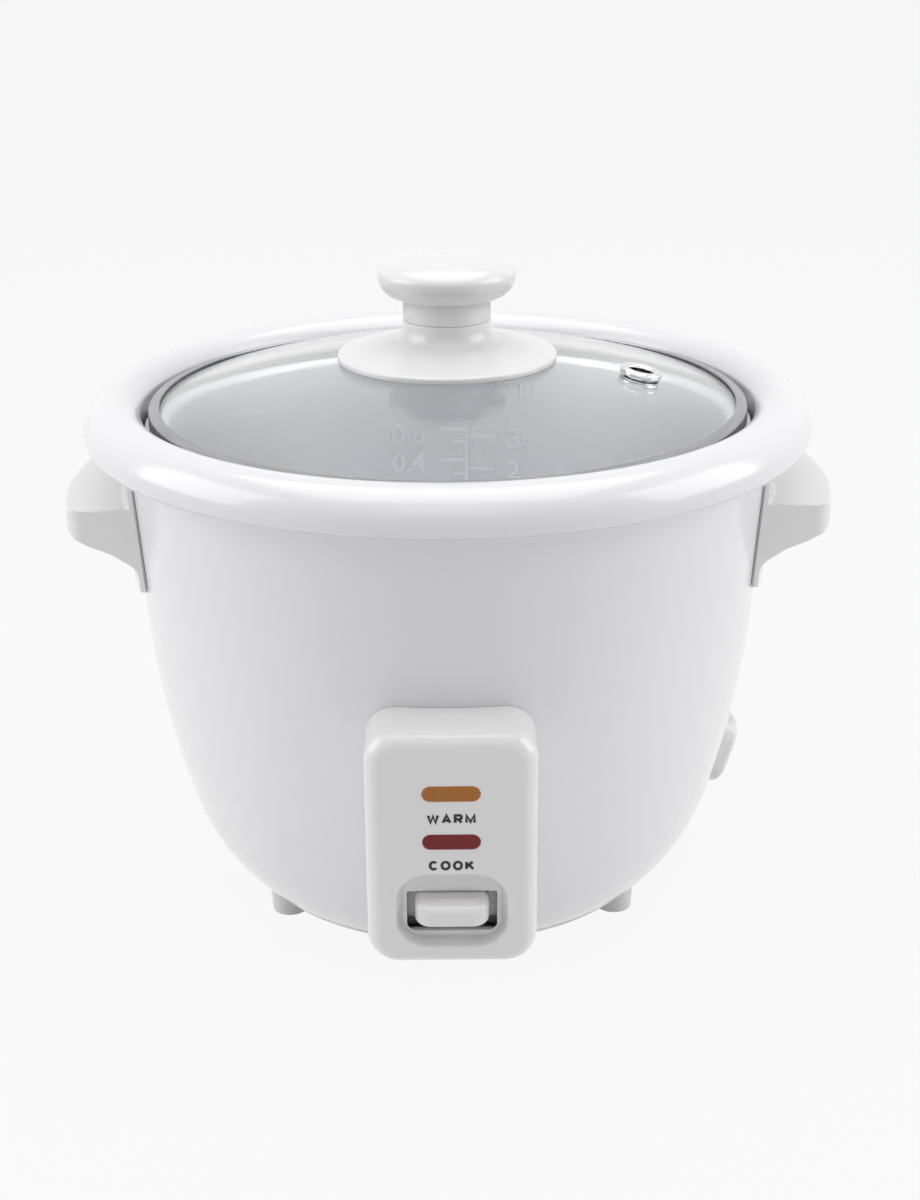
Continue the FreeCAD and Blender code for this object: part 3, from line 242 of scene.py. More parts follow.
white_paint = gloss_white("white_paint", (0.80, 0.795, 0.81), 0.20, 0.00001)
wall_heights = np.concatenate([
    np.linspace(149.5, belly_level, 26), np.linspace(97, heel_level, 40), np.linspace(35, 9.7, 26),
])
outside = np.stack([wall_radius(wall_heights), wall_heights], axis=1)
inside = np.stack([wall_radius(wall_heights[::-1], sheet), wall_heights[::-1]], axis=1)
floor_top, flange_top = floor_level + sheet, flange_level + sheet
flange_start, flange_end, floor_start, floor_end = 100.6, 109.2, 65.5, 44.75
inside[:, 1] = np.maximum(inside[:, 1], floor_top)
flange_corners = [
    (flange_start, flange_level, 0), (flange_end, flange_level, 0.35),
    (flange_end, flange_top, 0.35), (flange_start, flange_top, 0),
]
flange_edge = rounded(flange_corners, 5)
bend = np.linspace(np.pi / 2, np.pi, 9)[1:-1]
bend_level = 150.2
bend_axis = (wall_radius(bend_level) + flange_bend, bend_level)
bend_way = np.stack([np.cos(bend), np.sin(bend)], axis=1)
bend_out = bend_axis + flange_bend * bend_way
bend_in = (bend_axis + (flange_bend + sheet) * bend_way)[::-1]
floor_corners = [
    (floor_start, floor_level, 0), (floor_end, floor_level, 0.3),
    (floor_end, floor_top, 0.3), (floor_start, floor_top, 0),
]
floor_ring = rounded(floor_corners, 4)
shell_section = np.concatenate([bend_out, outside, floor_ring, inside, bend_in, flange_edge[::-1]])
shell_points = turn_section(shell_section, 288)
drum = skin("drum", shell_points, "base", white_paint, ["outer_shell"], along=True)
slot_half, slot_low, slot_high = 0.009, 0.037, 0.0494
work = bmesh.new()
work.from_mesh(drum.data)
spots = [(face, face.calc_center_median()) for face in work.faces]
lever_slot = [face for face, c in spots if abs(c.x) < slot_half and c.y < 0 and slot_low < c.z < slot_high]
bmesh.ops.delete(work, geom=lever_slot, context="FACES")
work.to_mesh(drum.data)
work.free()


# Heating plate, sensor and switch works inside the drum: cast aluminium, plated steel, wire and ferrite.
# They sit under the pot and only show once it is lifted out, so the solids keep their shapes.
# The two coil springs are drawn again, because they shorten as the sensor and the magnet move.
cast_aluminium = grained(
    "cast_aluminium", (0.52, 0.53, 0.54), (0.68, 0.69, 0.70), (0.28, 0.46), 260, 0.00004, 1.0
)
spring_wire = grained("spring_wire", (0.36, 0.36, 0.36), (0.50, 0.50, 0.50), (0.20, 0.34), 500, 0.00001, 1.0)
heat_tinted_steel = grained(
    "heat_tinted_steel", (0.16, 0.13, 0.12), (0.33, 0.30, 0.29), (0.35, 0.55), 120, 0.00003, 1.0
)
sintered_ferrite = grained(
    "sintered_ferrite", (0.05, 0.05, 0.055), (0.09, 0.09, 0.10), (0.55, 0.75), 900, 0.00004
)
sintered_magnet = grained(
    "sintered_magnet", (0.10, 0.10, 0.105), (0.17, 0.17, 0.18), (0.40, 0.60), 800, 0.00004, 0.6
)
black_moulding = grained(
    "black_moulding", (0.030, 0.030, 0.032), (0.050, 0.050, 0.052), (0.40, 0.55), 900, 0.00003
)
red_moulding = grained("red_moulding", (0.40, 0.05, 0.04), (0.48, 0.07, 0.05), (0.30, 0.42), 900, 0.00002)
fuse_glaze = grained("fuse_glaze", (0.70, 0.67, 0.60), (0.79, 0.77, 0.71), (0.18, 0.30), 300, 0.00002)
dress(cast_aluminium, "heating_plate", "sensor_cap")
dress(heat_tinted_steel, "heating_element")
dress(sintered_ferrite, "ferrite_core")
dress(sintered_magnet, "permanent_magnet")
dress(black_moulding, "microswitch_body", "keep_warm_thermostat", "lamp_holder")
dress(red_moulding, "microswitch_plunger")
dress(fuse_glaze, "thermal_fuse")
dress(zinc_plate, "sensor_sleeve", "sleeve_screws", "magnet_rod", "switch_frame", "switch_frame_screws")
dress(zinc_plate, "lever_arm", "lever_pivot_pin", "microswitch_screws", "fuse_clip", "handle_screws")
dress(zinc_plate, "switch_box_screws", "lamp_holder_screws")


def wire_coil(name, node, body, ring, low, high):
    """A round wire of 1 mm along a helix of five turns between two levels, with 0.05 mm to spare."""
    turns, wire, margin = 5, 0.5, 0.55
    along = np.linspace(0, 1, 260)[:, None]
    around = np.linspace(0, 2 * np.pi, 12, endpoint=False)
    turn = 2 * turns * np.pi * along
    radius = ring + wire * np.cos(around)
    height = low + margin + (high - low - 2 * margin) * along + wire * np.sin(around)
    points = np.stack([radius * np.cos(turn), radius * np.sin(turn), height], axis=-1)
    return skin(name, points, body, spring_wire, [node], ends=(True, True))


magnet_coil = wire_coil("magnet_coil", "release_spring", "magnet", 11.75, 48.75, 59.30)
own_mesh(magnet_coil)
sensor_coil = wire_coil("sensor_coil", "sensor_spring", "base", 17.4, 47.35, 54.60)
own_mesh(sensor_coil)


# Switch box: a white moulding screwed to the front of the drum, open at the back.
# Its face leans a little, carries two lamps, and is scooped out round the lever's window.
white_moulding = gloss_white("white_moulding", (0.80, 0.79, 0.79), 0.235, 0.000006)
box_half, box_low, box_top = 23.4, 28.0, 99.5
box_wall, box_edge, box_gap = 2.2, 4.5, 0.15
scoop_middle, scoop_back, scoop_draft, scoop_lip, scoop_fillet = 45.35, -107.0, 2.4, 0.7, 1.1


def face_depth(height):
    """Y of the box's front face, which leans back towards its foot."""
    return -113.4 + (box_top - height) * math.tan(math.radians(1.9))


def outline(half, low, high, corner, count):
    """Rounded rectangle as (x, z), points spaced evenly by length from the middle of its foot."""
    corners = [(half, low), (half, high), (-half, high), (-half, low)]
    loop = rounded([(x, z, corner) for x, z in corners], 25)
    loop = np.concatenate([[[0.0, low]], loop, [[0.0, low]]])
    run = lengths(loop)
    return at_lengths(loop, run, np.linspace(0, run[-1], count, endpoint=False))


def box_ring(shape, depth):
    """One ring of the box: an outline with a Y for each of its points."""
    return np.stack([shape[:, 0], depth * np.ones(len(shape)), shape[:, 1]], axis=1)


def by_angle(half, low, high, corner):
    """Rounded rectangle as (x, z), with points at equal turns about the scoop, so rings never fold."""
    loop = outline(half, low, high, corner, 6000) - [0.0, scoop_middle]
    turn = np.unwrap(np.arctan2(loop[:, 1], loop[:, 0]))
    reach = np.linalg.norm(loop, axis=1)
    even = np.linspace(0, 2 * np.pi, 720, endpoint=False) - np.pi / 2
    far = np.interp(even, turn, reach, period=2 * np.pi)
    return np.stack([far * np.cos(even), far * np.sin(even) + scoop_middle], axis=1)


def box_outline(inset):
    """Outline of the box, set in by a distance."""
    return by_angle(box_half - inset, box_low + inset, box_top - inset, max(9.0 - inset, 2.0))


def on_drum(shape):
    """Y at which each point of an outline meets the drum, a fine gap in front of it."""
    return -np.sqrt(wall_radius(shape[:, 1]) ** 2 - shape[:, 0] ** 2) - box_gap


def scoop_outline(inset):
    """Outline of the scoop, set in by a distance."""
    return by_angle(15.75 - inset, 33.6 + inset, 57.1 - inset, 9.5 - 1.9 * inset)


side_wall = box_outline(0)
seat_y = on_drum(side_wall)
hidden = box_outline(box_wall)
hidden_y = on_drum(hidden)
rings = [box_ring(hidden, np.minimum(hidden_y, face_depth(hidden[:, 1]) + 6)), box_ring(hidden, hidden_y)]
rings += [box_ring(side_wall, seat_y)]
front_start = face_depth(side_wall[:, 1]) + box_edge
rings += [box_ring(side_wall, seat_y + (front_start - seat_y) * share) for share in np.linspace(0.02, 1, 8)]
for turn in np.linspace(0, np.pi / 2, 14)[1:]:
    shape = box_outline(box_edge * (1 - np.cos(turn)))
    rings.append(box_ring(shape, face_depth(shape[:, 1]) + box_edge * (1 - np.sin(turn))))
face_edge, mouth = box_outline(box_edge), scoop_outline(-scoop_lip)
for share in np.linspace(0, 1, 24)[1:]:
    shape = face_edge + (mouth - face_edge) * share
    rings.append(box_ring(shape, face_depth(shape[:, 1])))
for turn in np.linspace(0, np.pi / 2 - 0.36, 7)[1:]:
    shape = scoop_outline(-scoop_lip * (1 - np.sin(turn)))
    rings.append(box_ring(shape, face_depth(shape[:, 1]) + scoop_lip * (1 - np.cos(turn))))
for share in np.linspace(0.1, 0.8, 8):
    shape = scoop_outline(scoop_draft * share)
    rings.append(box_ring(shape, face_depth(shape[:, 1]) * (1 - share) + scoop_back * share))
for turn in np.linspace(0.0, np.pi / 2, 8)[1:]:
    shape = scoop_outline(scoop_draft * 0.8 + scoop_fillet * (1 - np.cos(turn)))
    deep = face_depth(shape[:, 1]) * 0.2 + scoop_back * 0.8
    rings.append(box_ring(shape, deep + (scoop_back - deep) * np.sin(turn)))
window_edge = by_angle(12.5, 37.0, 49.4, 0.6)
floor_edge = scoop_outline(scoop_draft * 0.8 + scoop_fillet)
for share in np.linspace(0, 1, 7)[1:]:
    rings.append(box_ring(floor_edge + (window_edge - floor_edge) * share, scoop_back))
rings += [box_ring(window_edge, scoop_back + step) for step in (0.15, 1.0, 2.0)]
rings += [box_ring(by_angle(16.5, 33.0, 53.4, 0.6), scoop_back + 2.0)]
skin("switch_box_shell", np.array(rings), "base", white_moulding, ["switch_box"])


# Lamp lenses: tinted clear mouldings pushed into stadium holes in the box's face, cross-cut on the back.
# The warm lamp is amber and the cook lamp is dark red, each over a small bulb on a dark carrier.
def lens_finish(name, dark, light):
    """Tinted lens: two crossed sets of fine grooves darken and dimple it, under a smooth outer face."""
    material, tree, shader = new_material(name)
    across = object_pattern(tree, "ShaderNodeTexWave", 420, turn=(0, math.radians(45), 0))
    other = object_pattern(tree, "ShaderNodeTexWave", 420, turn=(0, math.radians(-45), 0))
    both = tree.nodes.new("ShaderNodeMath")
    both.operation = "MULTIPLY"
    tree.links.new(across.outputs["Fac"], both.inputs[0])
    tree.links.new(other.outputs["Fac"], both.inputs[1])
    shades(tree, both.outputs["Value"], dark, light, shader.inputs["Base Color"])
    relief(tree, both.outputs["Value"], 0.00008, shader)
    shader.inputs["Roughness"].default_value = 0.22
    shader.inputs["Specular IOR Level"].default_value = 0.3
    return material


amber_lens = lens_finish("amber_lens", (0.36, 0.130, 0.022), (0.52, 0.205, 0.040))
red_lens = lens_finish("red_lens", (0.17, 0.009, 0.011), (0.24, 0.016, 0.018))
bulb_glass = grained("bulb_glass", (0.80, 0.66, 0.50), (0.88, 0.76, 0.60), (0.05, 0.12), 300, 0.00001)
dress(bulb_glass, "warm_lamp_bulb", "cook_lamp_bulb")


def lamp_lens(name, node, height, material):
    """A stadium block whose front edge is rounded: rings of one outline, drawn in as they come forward."""
    half, rise, corner, flange, edge, front = 8.1, 2.5, 2.499, 1.5, 0.75, 0.45

    def ring(inset, behind):
        """The lens's outline set in by a distance, at a distance behind the box's face."""
        shape = outline(half - inset, height - rise + inset, height + rise - inset, corner - inset, 160)
        return box_ring(shape, face_depth(shape[:, 1]) + behind)

    stack = [ring(-flange, 3.7), ring(-flange, 2.5), ring(0, 2.4), ring(0, front)]
    for turn in np.linspace(0, np.pi / 2, 8)[1:]:
        stack.append(ring(edge * (1 - np.cos(turn)), front - edge * np.sin(turn)))
    stack += [ring(inset, -0.30) for inset in (1.2, 1.8, 2.3)]
    return skin(name, np.array(stack), "base", material, [node], ends=(True, True))


lamp_lens("warm_lens", "warm_lamp_lens", 82.2, amber_lens)
lamp_lens("cook_lens", "cook_lamp_lens", 67.5, red_lens)


# Function legends: short words printed in dark ink under the lamps.
# Each letter is a few bold strokes, laid just proud of the leaning face.
printed_ink = grained("printed_ink", (0.018, 0.018, 0.024), (0.030, 0.030, 0.036), (0.45, 0.60), 900, 0.00001)


def ribbon(line, weight):
    """A flat band of one weight along a line: each point is pushed to both sides along its mitre."""
    line = np.array(line, float)
    ahead = np.diff(line, axis=0)
    ahead /= np.linalg.norm(ahead, axis=1, keepdims=True)
    into, out = np.concatenate([ahead[:1], ahead]), np.concatenate([ahead, ahead[-1:]])
    mitre = np.stack([-(into + out)[:, 1], (into + out)[:, 0]], axis=1)
    mitre /= np.linalg.norm(mitre, axis=1, keepdims=True)
    lean = np.sum(mitre * np.stack([-into[:, 1], into[:, 0]], axis=1), axis=1)
    edge = mitre * (weight / 2 / np.maximum(lean, 0.55))[:, None]
    count = len(line)
    faces = [[count + k, count + k + 1, k + 1, k] for k in range(count - 1)]
    return np.concatenate([line + edge, line - edge]), faces


def oval(first, last):
    """Part of a circle in a letter's unit square, between two angles in degrees."""
    turn = np.radians(np.linspace(first, last, 33))
    return np.stack([0.5 + 0.5 * np.cos(turn), 0.5 + 0.5 * np.sin(turn)], axis=1)


bowl = oval(90, -90) * [0.56, 0.54] + [0.44, 0.46]
letter_strokes = {
    "W": (1.40, [[(0, 1), (0.24, 0), (0.5, 0.92), (0.76, 0), (1, 1)]]),
    "A": (1.05, [[(0, 0), (0.5, 1), (1, 0)], [(0.18, 0.3), (0.82, 0.3)]]),
    "R": (0.92, [[(0, 0), (0, 1), *bowl, (0, 0.46)], [(0.5, 0.46), (1, 0)]]),
    "M": (1.15, [[(0, 0), (0, 1), (0.5, 0.08), (1, 1), (1, 0)]]),
    "C": (1.02, [oval(42, 318)]),
    "O": (1.10, [oval(0, 360)]),
    "K": (1.00, [[(0, 0), (0, 1)], [(0.92, 1), (0, 0.36)], [(0.36, 0.62), (1, 0)]]),
}


def stroke_word(word, cap, width, weight):
    """A word of bold stroked letters as (points, faces), centred, with a cap height and a width."""
    shares = [letter_strokes[letter][0] for letter in word]
    space = 0.74  # between letters, in the same unit as their widths
    unit = (width - weight) / (sum(shares) + space * (len(word) - 1))
    points, faces, left, count = [], [], (weight - width) / 2, 0
    for letter, share in zip(word, shares):
        for line in letter_strokes[letter][1]:
            placed = np.array(line) * [share * unit, cap - weight] + [left, (weight - cap) / 2]
            spots, quads = ribbon(placed, weight)
            points.append(spots)
            faces += [[k + count for k in quad] for quad in quads]
            count += len(spots)
        left += (share + space) * unit
    return np.concatenate(points), faces


def lay_words(name, points, faces, body, material):
    """A mesh of printed words from points in millimetres."""
    mesh = bpy.data.meshes.new(name)
    mesh.from_pydata((points * 0.001).tolist(), [], faces)
    mesh.materials.append(material)
    piece = bpy.data.objects.new(name, mesh)
    bpy.context.scene.collection.objects.link(piece)
    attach(piece, body)
    return piece


def face_words(name, words, height, width, place):
    """Lays words on the box's leaning face, centred at a height, 0.04 mm in front of it."""
    flat, faces = stroke_word(words, height, width, weight=0.80)
    level = flat[:, 1] + place
    points = np.stack([flat[:, 0], face_depth(level) - 0.04, level], axis=1)
    return lay_words(name, points, faces, "base", printed_ink)


face_words("warm_legend", "WARM", 3.05, 13.2, 74.6)
face_words("cook_legend", "COOK", 3.05, 12.5, 60.2)


# Lever tongue: a white moulding pushed on the end of the lever strip, standing out of the window.
# Its top slopes down to a rounded nose, and its front corners are rounded.
# Two plates behind it close the window.
def tongue_plan(inset):
    """The tongue seen from above, set in by a distance: a straight back and two rounded front corners."""
    half, front, back = 10.25 - inset, -113.0 + inset, -104.6 - inset
    nose = 4.5 - inset
    loop = rounded([(half, back, 0.1), (-half, back, 0.1), (-half, front, nose), (half, front, nose)], 17)
    run = lengths(loop)
    return at_lengths(loop, run, np.linspace(0, run[-1], 180))


def tongue_ring(inset, share, lift):
    """A ring of the tongue at a share of its height, between a rising underside and a sloping top."""
    plan = tongue_plan(inset)
    out = np.clip((-107.0 - plan[:, 1]) / 6.0, 0, 1)
    top = 49.0 - 2.3 * out
    under = 41.48 - 0.58 * out
    return np.concatenate([plan, (under + (top - under) * share + lift)[:, None]], axis=1)


quarter = np.linspace(0, np.pi / 2, 9)
soft = 1.6
tongue = [tongue_ring(inset, 0, 0) for inset in (4.0, 2.8)]
tongue += [tongue_ring(soft * (1 - np.sin(t)), 0, soft * (1 - np.cos(t))) for t in quarter]
tongue += [tongue_ring(soft * (1 - np.cos(t)), 1, -soft * (1 - np.sin(t))) for t in quarter]
tongue += [tongue_ring(inset, 1, 0) for inset in (2.8, 4.0)]
tongue = np.array(tongue)
skin("lever_tongue", tongue, "lever", white_moulding, ["lever_paddle"], ends=(True, True))
shield_corners = [(13.4, -102.9), (13.4, -102.1), (-13.4, -102.1), (-13.4, -102.9)]
shield_plan = rounded([(x, y, 0.2) for x, y in shield_corners], 4)
for name, back, low, high in (("tongue_shield", 0.0, 39.3, 53.6), ("tongue_skirt", 3.2, 35.0, 41.0)):
    shield = np.array([np.insert(shield_plan + [0.0, back], 2, level, axis=1) for level in (low, high)])
    skin(name, shield, "lever", white_moulding, ["lever_paddle"], ends=(True, True))


# Side handles: white mouldings, each a flat ledge over a curved web on a mounting plate.
# The section is carried along the handle, follows the drum in plan, and ends in a flat face with soft edges.
plate_low, ledge, plate_high = 109.3, 135.5, 147.5
plate_t, drum_gap, half_length, tip_round = 2.2, 0.15, 32.0, 5.0
nose_x = wall_radius(ledge) + 19.6
plate_x = wall_radius(plate_low) + plate_t
web = rounded(
    [
        (plate_x, plate_low, 0.5),
        (plate_x + 0.02 * (nose_x - plate_x), 116.5, 6.0),
        (plate_x + 0.40 * (nose_x - plate_x), 121.5, 4.0),
        (nose_x - 0.9 * 5.7, 124.2, 3.0),
        (nose_x, 127.2, 4.0),
        (nose_x, ledge, 0.7),
        (wall_radius(ledge) + plate_t, ledge, 0.8),
        (wall_radius(plate_high) + plate_t, plate_high, 0.5),
        (wall_radius(plate_high) + drum_gap, plate_high, 0.0),
        (wall_radius(plate_low) + drum_gap, plate_low, 0.0),
    ],
    9,
)
closed_web = np.concatenate([web, web[:1]])
run = lengths(closed_web)
web = at_lengths(closed_web, run, np.linspace(0, run[-1], 260, endpoint=False))
heading = np.roll(web, -1, axis=0) - np.roll(web, 1, axis=0)
heading /= np.linalg.norm(heading, axis=1, keepdims=True)
inward = np.stack([-heading[:, 1], heading[:, 0]], axis=1)
end_round = 0.5
end_run, end_inset = end_round * (1 - np.cos(quarter)), end_round * (1 - np.sin(quarter))
stations = np.concatenate([
    np.stack([end_run - half_length, end_inset], axis=1),
    np.stack([np.linspace(-31, 31, 49), np.zeros(49)], axis=1),
    np.stack([half_length - end_run, end_inset], axis=1)[::-1],
])
tip_start = half_length - tip_round
corner_x = math.sqrt((nose_x - tip_round) ** 2 - tip_start ** 2)


def handle_station(y, inset):
    """The handle's section at a distance along it: radii become x in plan, cut by the rounded tip."""
    shape = web + inward * inset
    x = np.sqrt(np.maximum(shape[:, 0] ** 2 - y * y, 1.0))
    over = max(abs(y) - tip_start, 0.0)
    limit = corner_x + math.sqrt(max(tip_round ** 2 - over * over, 0.0)) if over else nose_x
    return np.stack([np.minimum(x, limit), np.full(len(x), y), shape[:, 1]], axis=1)


grip = np.array([handle_station(y, inset) for y, inset in stations])
skin("grip_right", grip, "base", white_moulding, ["handle_right"], ends=(True, True))
mirrored = grip * [-1, -1, 1]
skin("grip_left", mirrored, "base", white_moulding, ["handle_left"], ends=(True, True))


# Power inlet: a white snap-in housing on the right flank, with three brass pins in a sunk socket.
# The solids are right as they are, so they only get their finishes.
prong_brass = grained("prong_brass", (0.55, 0.40, 0.16), (0.68, 0.52, 0.24), (0.20, 0.34), 400, 0.00002, 1.0)
dress(white_moulding, "inlet_housing")
dress(prong_brass, "inlet_pins")


# Top rim: a rolled ring of white painted sheet, crimped over the drum's flange.
# A convex outer roll runs from a free edge up to a crest, then down into a straight mouth.
crest_radius, crest_level, edge_radius, edge_level, mouth_radius = 101.0, 165.0, 109.8, 153.0, 93.3
out_fall, in_fall, in_reach, rim_t = 12.0, 5.0, 7.7, 1.1
out_bend = ((edge_radius - crest_radius) ** 2 + out_fall ** 2) / (2 * out_fall)
in_bend = (in_reach ** 2 + in_fall ** 2) / (2 * in_fall)
out_turn = np.linspace(math.asin((edge_level - (crest_level - out_bend)) / out_bend), np.pi / 2, 30)
in_turn = np.linspace(np.pi / 2, np.pi - math.acos(in_reach / in_bend), 20)[1:]


def crest_arc(bend, turn):
    """Arc of the roll through its crest, as (radius, height)."""
    return np.stack([crest_radius + bend * np.cos(turn), crest_level - bend + bend * np.sin(turn)], axis=1)


mouth_wall = np.stack([np.full(12, mouth_radius), np.linspace(159.0, 146.2, 12)], axis=1)
roll = np.concatenate([crest_arc(out_bend, out_turn), crest_arc(in_bend, in_turn), mouth_wall])
heading = np.gradient(roll, axis=0)
heading /= np.linalg.norm(heading, axis=1, keepdims=True)
under_roll = roll + np.stack([-heading[:, 1], heading[:, 0]], axis=1) * rim_t
rim_section = np.concatenate([roll, under_roll[::-1]])
rim_points = turn_section(rim_section, 288)
skin("rolled_rim", rim_points, "base", white_paint, ["top_rim"], along=True)


# Inner pot: spun from one aluminium disc, satin inside, with a turned-out lip that hangs in the rim.
# Faint rings from spinning run round it.
def spun_metal(name, colour, rough):
    """Spun metal: fine bands round the axis vary its colour, roughness and relief."""
    material, tree, shader = new_material(name)
    bands = object_pattern(tree, "ShaderNodeTexNoise", 26, (1, 1, 60), detail=5.0)
    shade = tuple(c * 0.93 for c in colour)
    shades(tree, bands.outputs["Fac"], shade, colour, shader.inputs["Base Color"])
    spread(tree, bands.outputs["Fac"], rough * 0.8, rough * 1.25, shader.inputs["Roughness"])
    relief(tree, bands.outputs["Fac"], 0.00001, shader)
    shader.inputs["Metallic"].default_value = 1.0
    return material


satin_aluminium = spun_metal("satin_aluminium", (0.76, 0.77, 0.79), 0.48)
pot_section = rounded(
    [
        (0.01, 67.8, 0), (84.1, 67.8, 18.0), (85.6, 152.0, 0.0), (85.6, 154.1, 2.0), (92.5, 154.1, 0.5),
        (92.5, 155.3, 0.5), (84.4, 155.3, 3.0), (82.9, 69.0, 16.8), (0.01, 69.0, 0),
    ],
    14,
)
run = lengths(pot_section)
pot_section = at_lengths(pot_section, run, np.unique(np.concatenate([run, np.linspace(0, run[-1], 140)])))
pot_points = turn_section(pot_section, 256)
skin("pot_bowl", pot_points, "pot", satin_aluminium, ["inner_pot"], along=True)


# Level marks: a litre scale, a ladder of ticks and a cup scale pressed into the pot's rear wall.
# They stand half a millimetre proud of the wall as low raised shapes, coloured lighter than the pot as a
# painted highlight.
def pot_wall_radius(height):
    """Radius of the pot's inner wall, which opens a little towards its lip."""
    foot_radius, foot_level, lip_level, opening = 82.9, 85.8, 152.0, 1.5
    return foot_radius + (height - foot_level) / (lip_level - foot_level) * opening


def on_pot_wall(across, level, proud):
    """Wraps flat points on the rear inner wall: across becomes an angle, level a height."""
    radius = pot_wall_radius(level) - proud
    turn = across / 83.5
    return np.stack([radius * np.sin(turn), radius * np.cos(turn), level], axis=1)


# Lighter than the pot's own aluminium: a painted highlight that stands in for the glints on the raised
# strokes.
painted_highlight_aluminium = spun_metal("painted_highlight_aluminium", (0.86, 0.87, 0.89), 0.30)


def pressed_mark(name, flat, faces, centre, level):
    """Raised mark: a flat shape wrapped 0.55 mm proud of the wall, with sides that run back into the wall, in
    a lighter aluminium that is a painted highlight.
    """
    across, height = flat[:, 0] + centre, flat[:, 1] + level
    mesh = bpy.data.meshes.new(name)
    mesh.from_pydata((on_pot_wall(across, height, 0.55) * 0.001).tolist(), [], faces)
    work = bmesh.new()
    work.from_mesh(mesh)
    bmesh.ops.remove_doubles(work, verts=work.verts, dist=1e-6)
    border = [edge for edge in work.edges if edge.is_boundary]
    grown = bmesh.ops.extrude_edge_only(work, edges=border)
    fresh = [item for item in grown["geom"] if isinstance(item, bmesh.types.BMVert)]
    for vert in fresh:
        spot = np.array(vert.co[:2])
        vert.co[:2] = spot * (1 + 0.0007 / np.linalg.norm(spot))
    bmesh.ops.recalc_face_normals(work, faces=work.faces)
    work.to_mesh(mesh)
    work.free()
    mesh.materials.append(painted_highlight_aluminium)
    piece = bpy.data.objects.new(name, mesh)
    bpy.context.scene.collection.objects.link(piece)
    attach(piece, "pot")
    return piece


def flat_text(words, height, width, weight):
    """Outline of some words as a mesh: (points, faces), centred, scaled to a cap height and a width."""
    curve = bpy.data.curves.new("words", "FONT")
    curve.body = words
    curve.offset = weight
    curve.fill_mode = "FRONT"
    letters = bpy.data.objects.new("words", curve)
    bpy.context.scene.collection.objects.link(letters)
    bpy.context.view_layer.update()
    mesh = bpy.data.meshes.new_from_object(letters.evaluated_get(bpy.context.evaluated_depsgraph_get()))
    bpy.data.objects.remove(letters)
    flat = np.zeros(len(mesh.vertices) * 3)
    mesh.vertices.foreach_get("co", flat)
    flat = flat.reshape(-1, 3)[:, :2]
    faces = [list(face.vertices) for face in mesh.polygons]
    low, high = flat.min(axis=0), flat.max(axis=0)
    return (flat - (low + high) / 2) / (high - low) * [width, height], faces


def mark_word(name, words, height, width, centre, level):
    """A word or number of the scale, with a bold stroke."""
    flat, faces = flat_text(words, height, width, 0.018)
    return pressed_mark(name, flat, faces, centre, level)


mark_word("mark_litre_high", "0.6", 7.0, 12.0, -14.2, 125.3)
mark_word("mark_litre_low", "0.4", 7.0, 12.0, -14.2, 114.9)
mark_word("mark_cup_high", "3", 7.0, 5.2, 23.7, 123.8)
mark_word("mark_cup_low", "2", 7.0, 5.2, 23.7, 112.3)
mark_word("mark_cup_word", "CUP", 7.0, 15.0, 22.1, 140.6)


def mark_bar(name, left, right, low, high):
    """One straight stroke of the ladder between the two scales."""
    flat = np.array([(left, low), (right, low), (right, high), (left, high)], float)
    return pressed_mark(name, flat, [[0, 1, 2, 3]], 0.0, 0.0)


mark_bar("mark_ladder", 6.0, 7.2, 107.5, 127.0)
for step, level in enumerate((126.4, 122.0, 115.3, 110.2)):
    mark_bar("mark_litre_tick_%d" % step, (-2.5, 1.5)[step % 2], 6.0, level - 0.6, level + 0.6)
for step, level in enumerate((124.2, 112.3)):
    mark_bar("mark_cup_tick_%d" % step, 7.4, 17.0, level - 0.6, level + 0.6)


# Glass lid: a pressed dome of clear tempered glass with a bored hole for the steam vent.
# Rings run from its rim to the vent's hole, on the outer and then the inner face of the dome.
glass_radius, glass_t, dome_rise = 90.2, 3.5, 15.0
band_base, band_t, lid_gap = 155.5, 0.7, 0.15
dome_bend = (glass_radius ** 2 + dome_rise ** 2) / (2 * dome_rise)
dome_axis = band_base + band_t + lid_gap - math.sqrt((dome_bend - glass_t) ** 2 - glass_radius ** 2)


def dome_height(radius, depth=0.0):
    """Height of the dome at a radius, at a depth below its outer face."""
    return dome_axis + np.sqrt((dome_bend - depth) ** 2 - np.asarray(radius, float) ** 2)


vent_radius, vent_turn, vent_hole = 58.5, math.radians(-7.9), 4.7
vent_spot = vent_radius * np.array([math.cos(vent_turn), math.sin(vent_turn)])


def glass_sheet(depth, share):
    """Rings between the lid's rim (share 0) and the vent's hole (share 1), on the dome at a depth."""
    angle = np.linspace(0, 2 * np.pi, 192, endpoint=False)
    way = np.stack([np.cos(angle), np.sin(angle)], axis=1)
    hole = vent_spot + vent_hole * way
    plan = glass_radius * way + (hole - glass_radius * way) * share[:, None, None]
    radius = np.linalg.norm(plan, axis=-1)
    return np.concatenate([plan, dome_height(radius, depth)[..., None]], axis=-1)


def lid_glass_finish():
    """Clear glass that bends and mirrors light. Lamps pass straight through, so the pot below is lit."""
    material, tree, shader = new_material("lid_clear_glass")
    shader.inputs["Base Color"].default_value = (0.975, 0.985, 0.985, 1)
    shader.inputs["Roughness"].default_value = 0.0
    shader.inputs["IOR"].default_value = 1.5
    shader.inputs["Transmission Weight"].default_value = 1.0
    through = tree.nodes.new("ShaderNodeBsdfTransparent")
    through.inputs["Color"].default_value = (0.92, 0.94, 0.94, 1)
    ray = tree.nodes.new("ShaderNodeLightPath")
    either = tree.nodes.new("ShaderNodeMath")
    either.operation = "MAXIMUM"
    mix = tree.nodes.new("ShaderNodeMixShader")
    tree.links.new(ray.outputs["Is Shadow Ray"], either.inputs[0])
    tree.links.new(ray.outputs["Is Diffuse Ray"], either.inputs[1])
    tree.links.new(either.outputs["Value"], mix.inputs["Fac"])
    tree.links.new(shader.outputs["BSDF"], mix.inputs[1])
    tree.links.new(through.outputs["BSDF"], mix.inputs[2])
    tree.links.new(mix.outputs["Shader"], tree.nodes["Material Output"].inputs["Surface"])
    return material


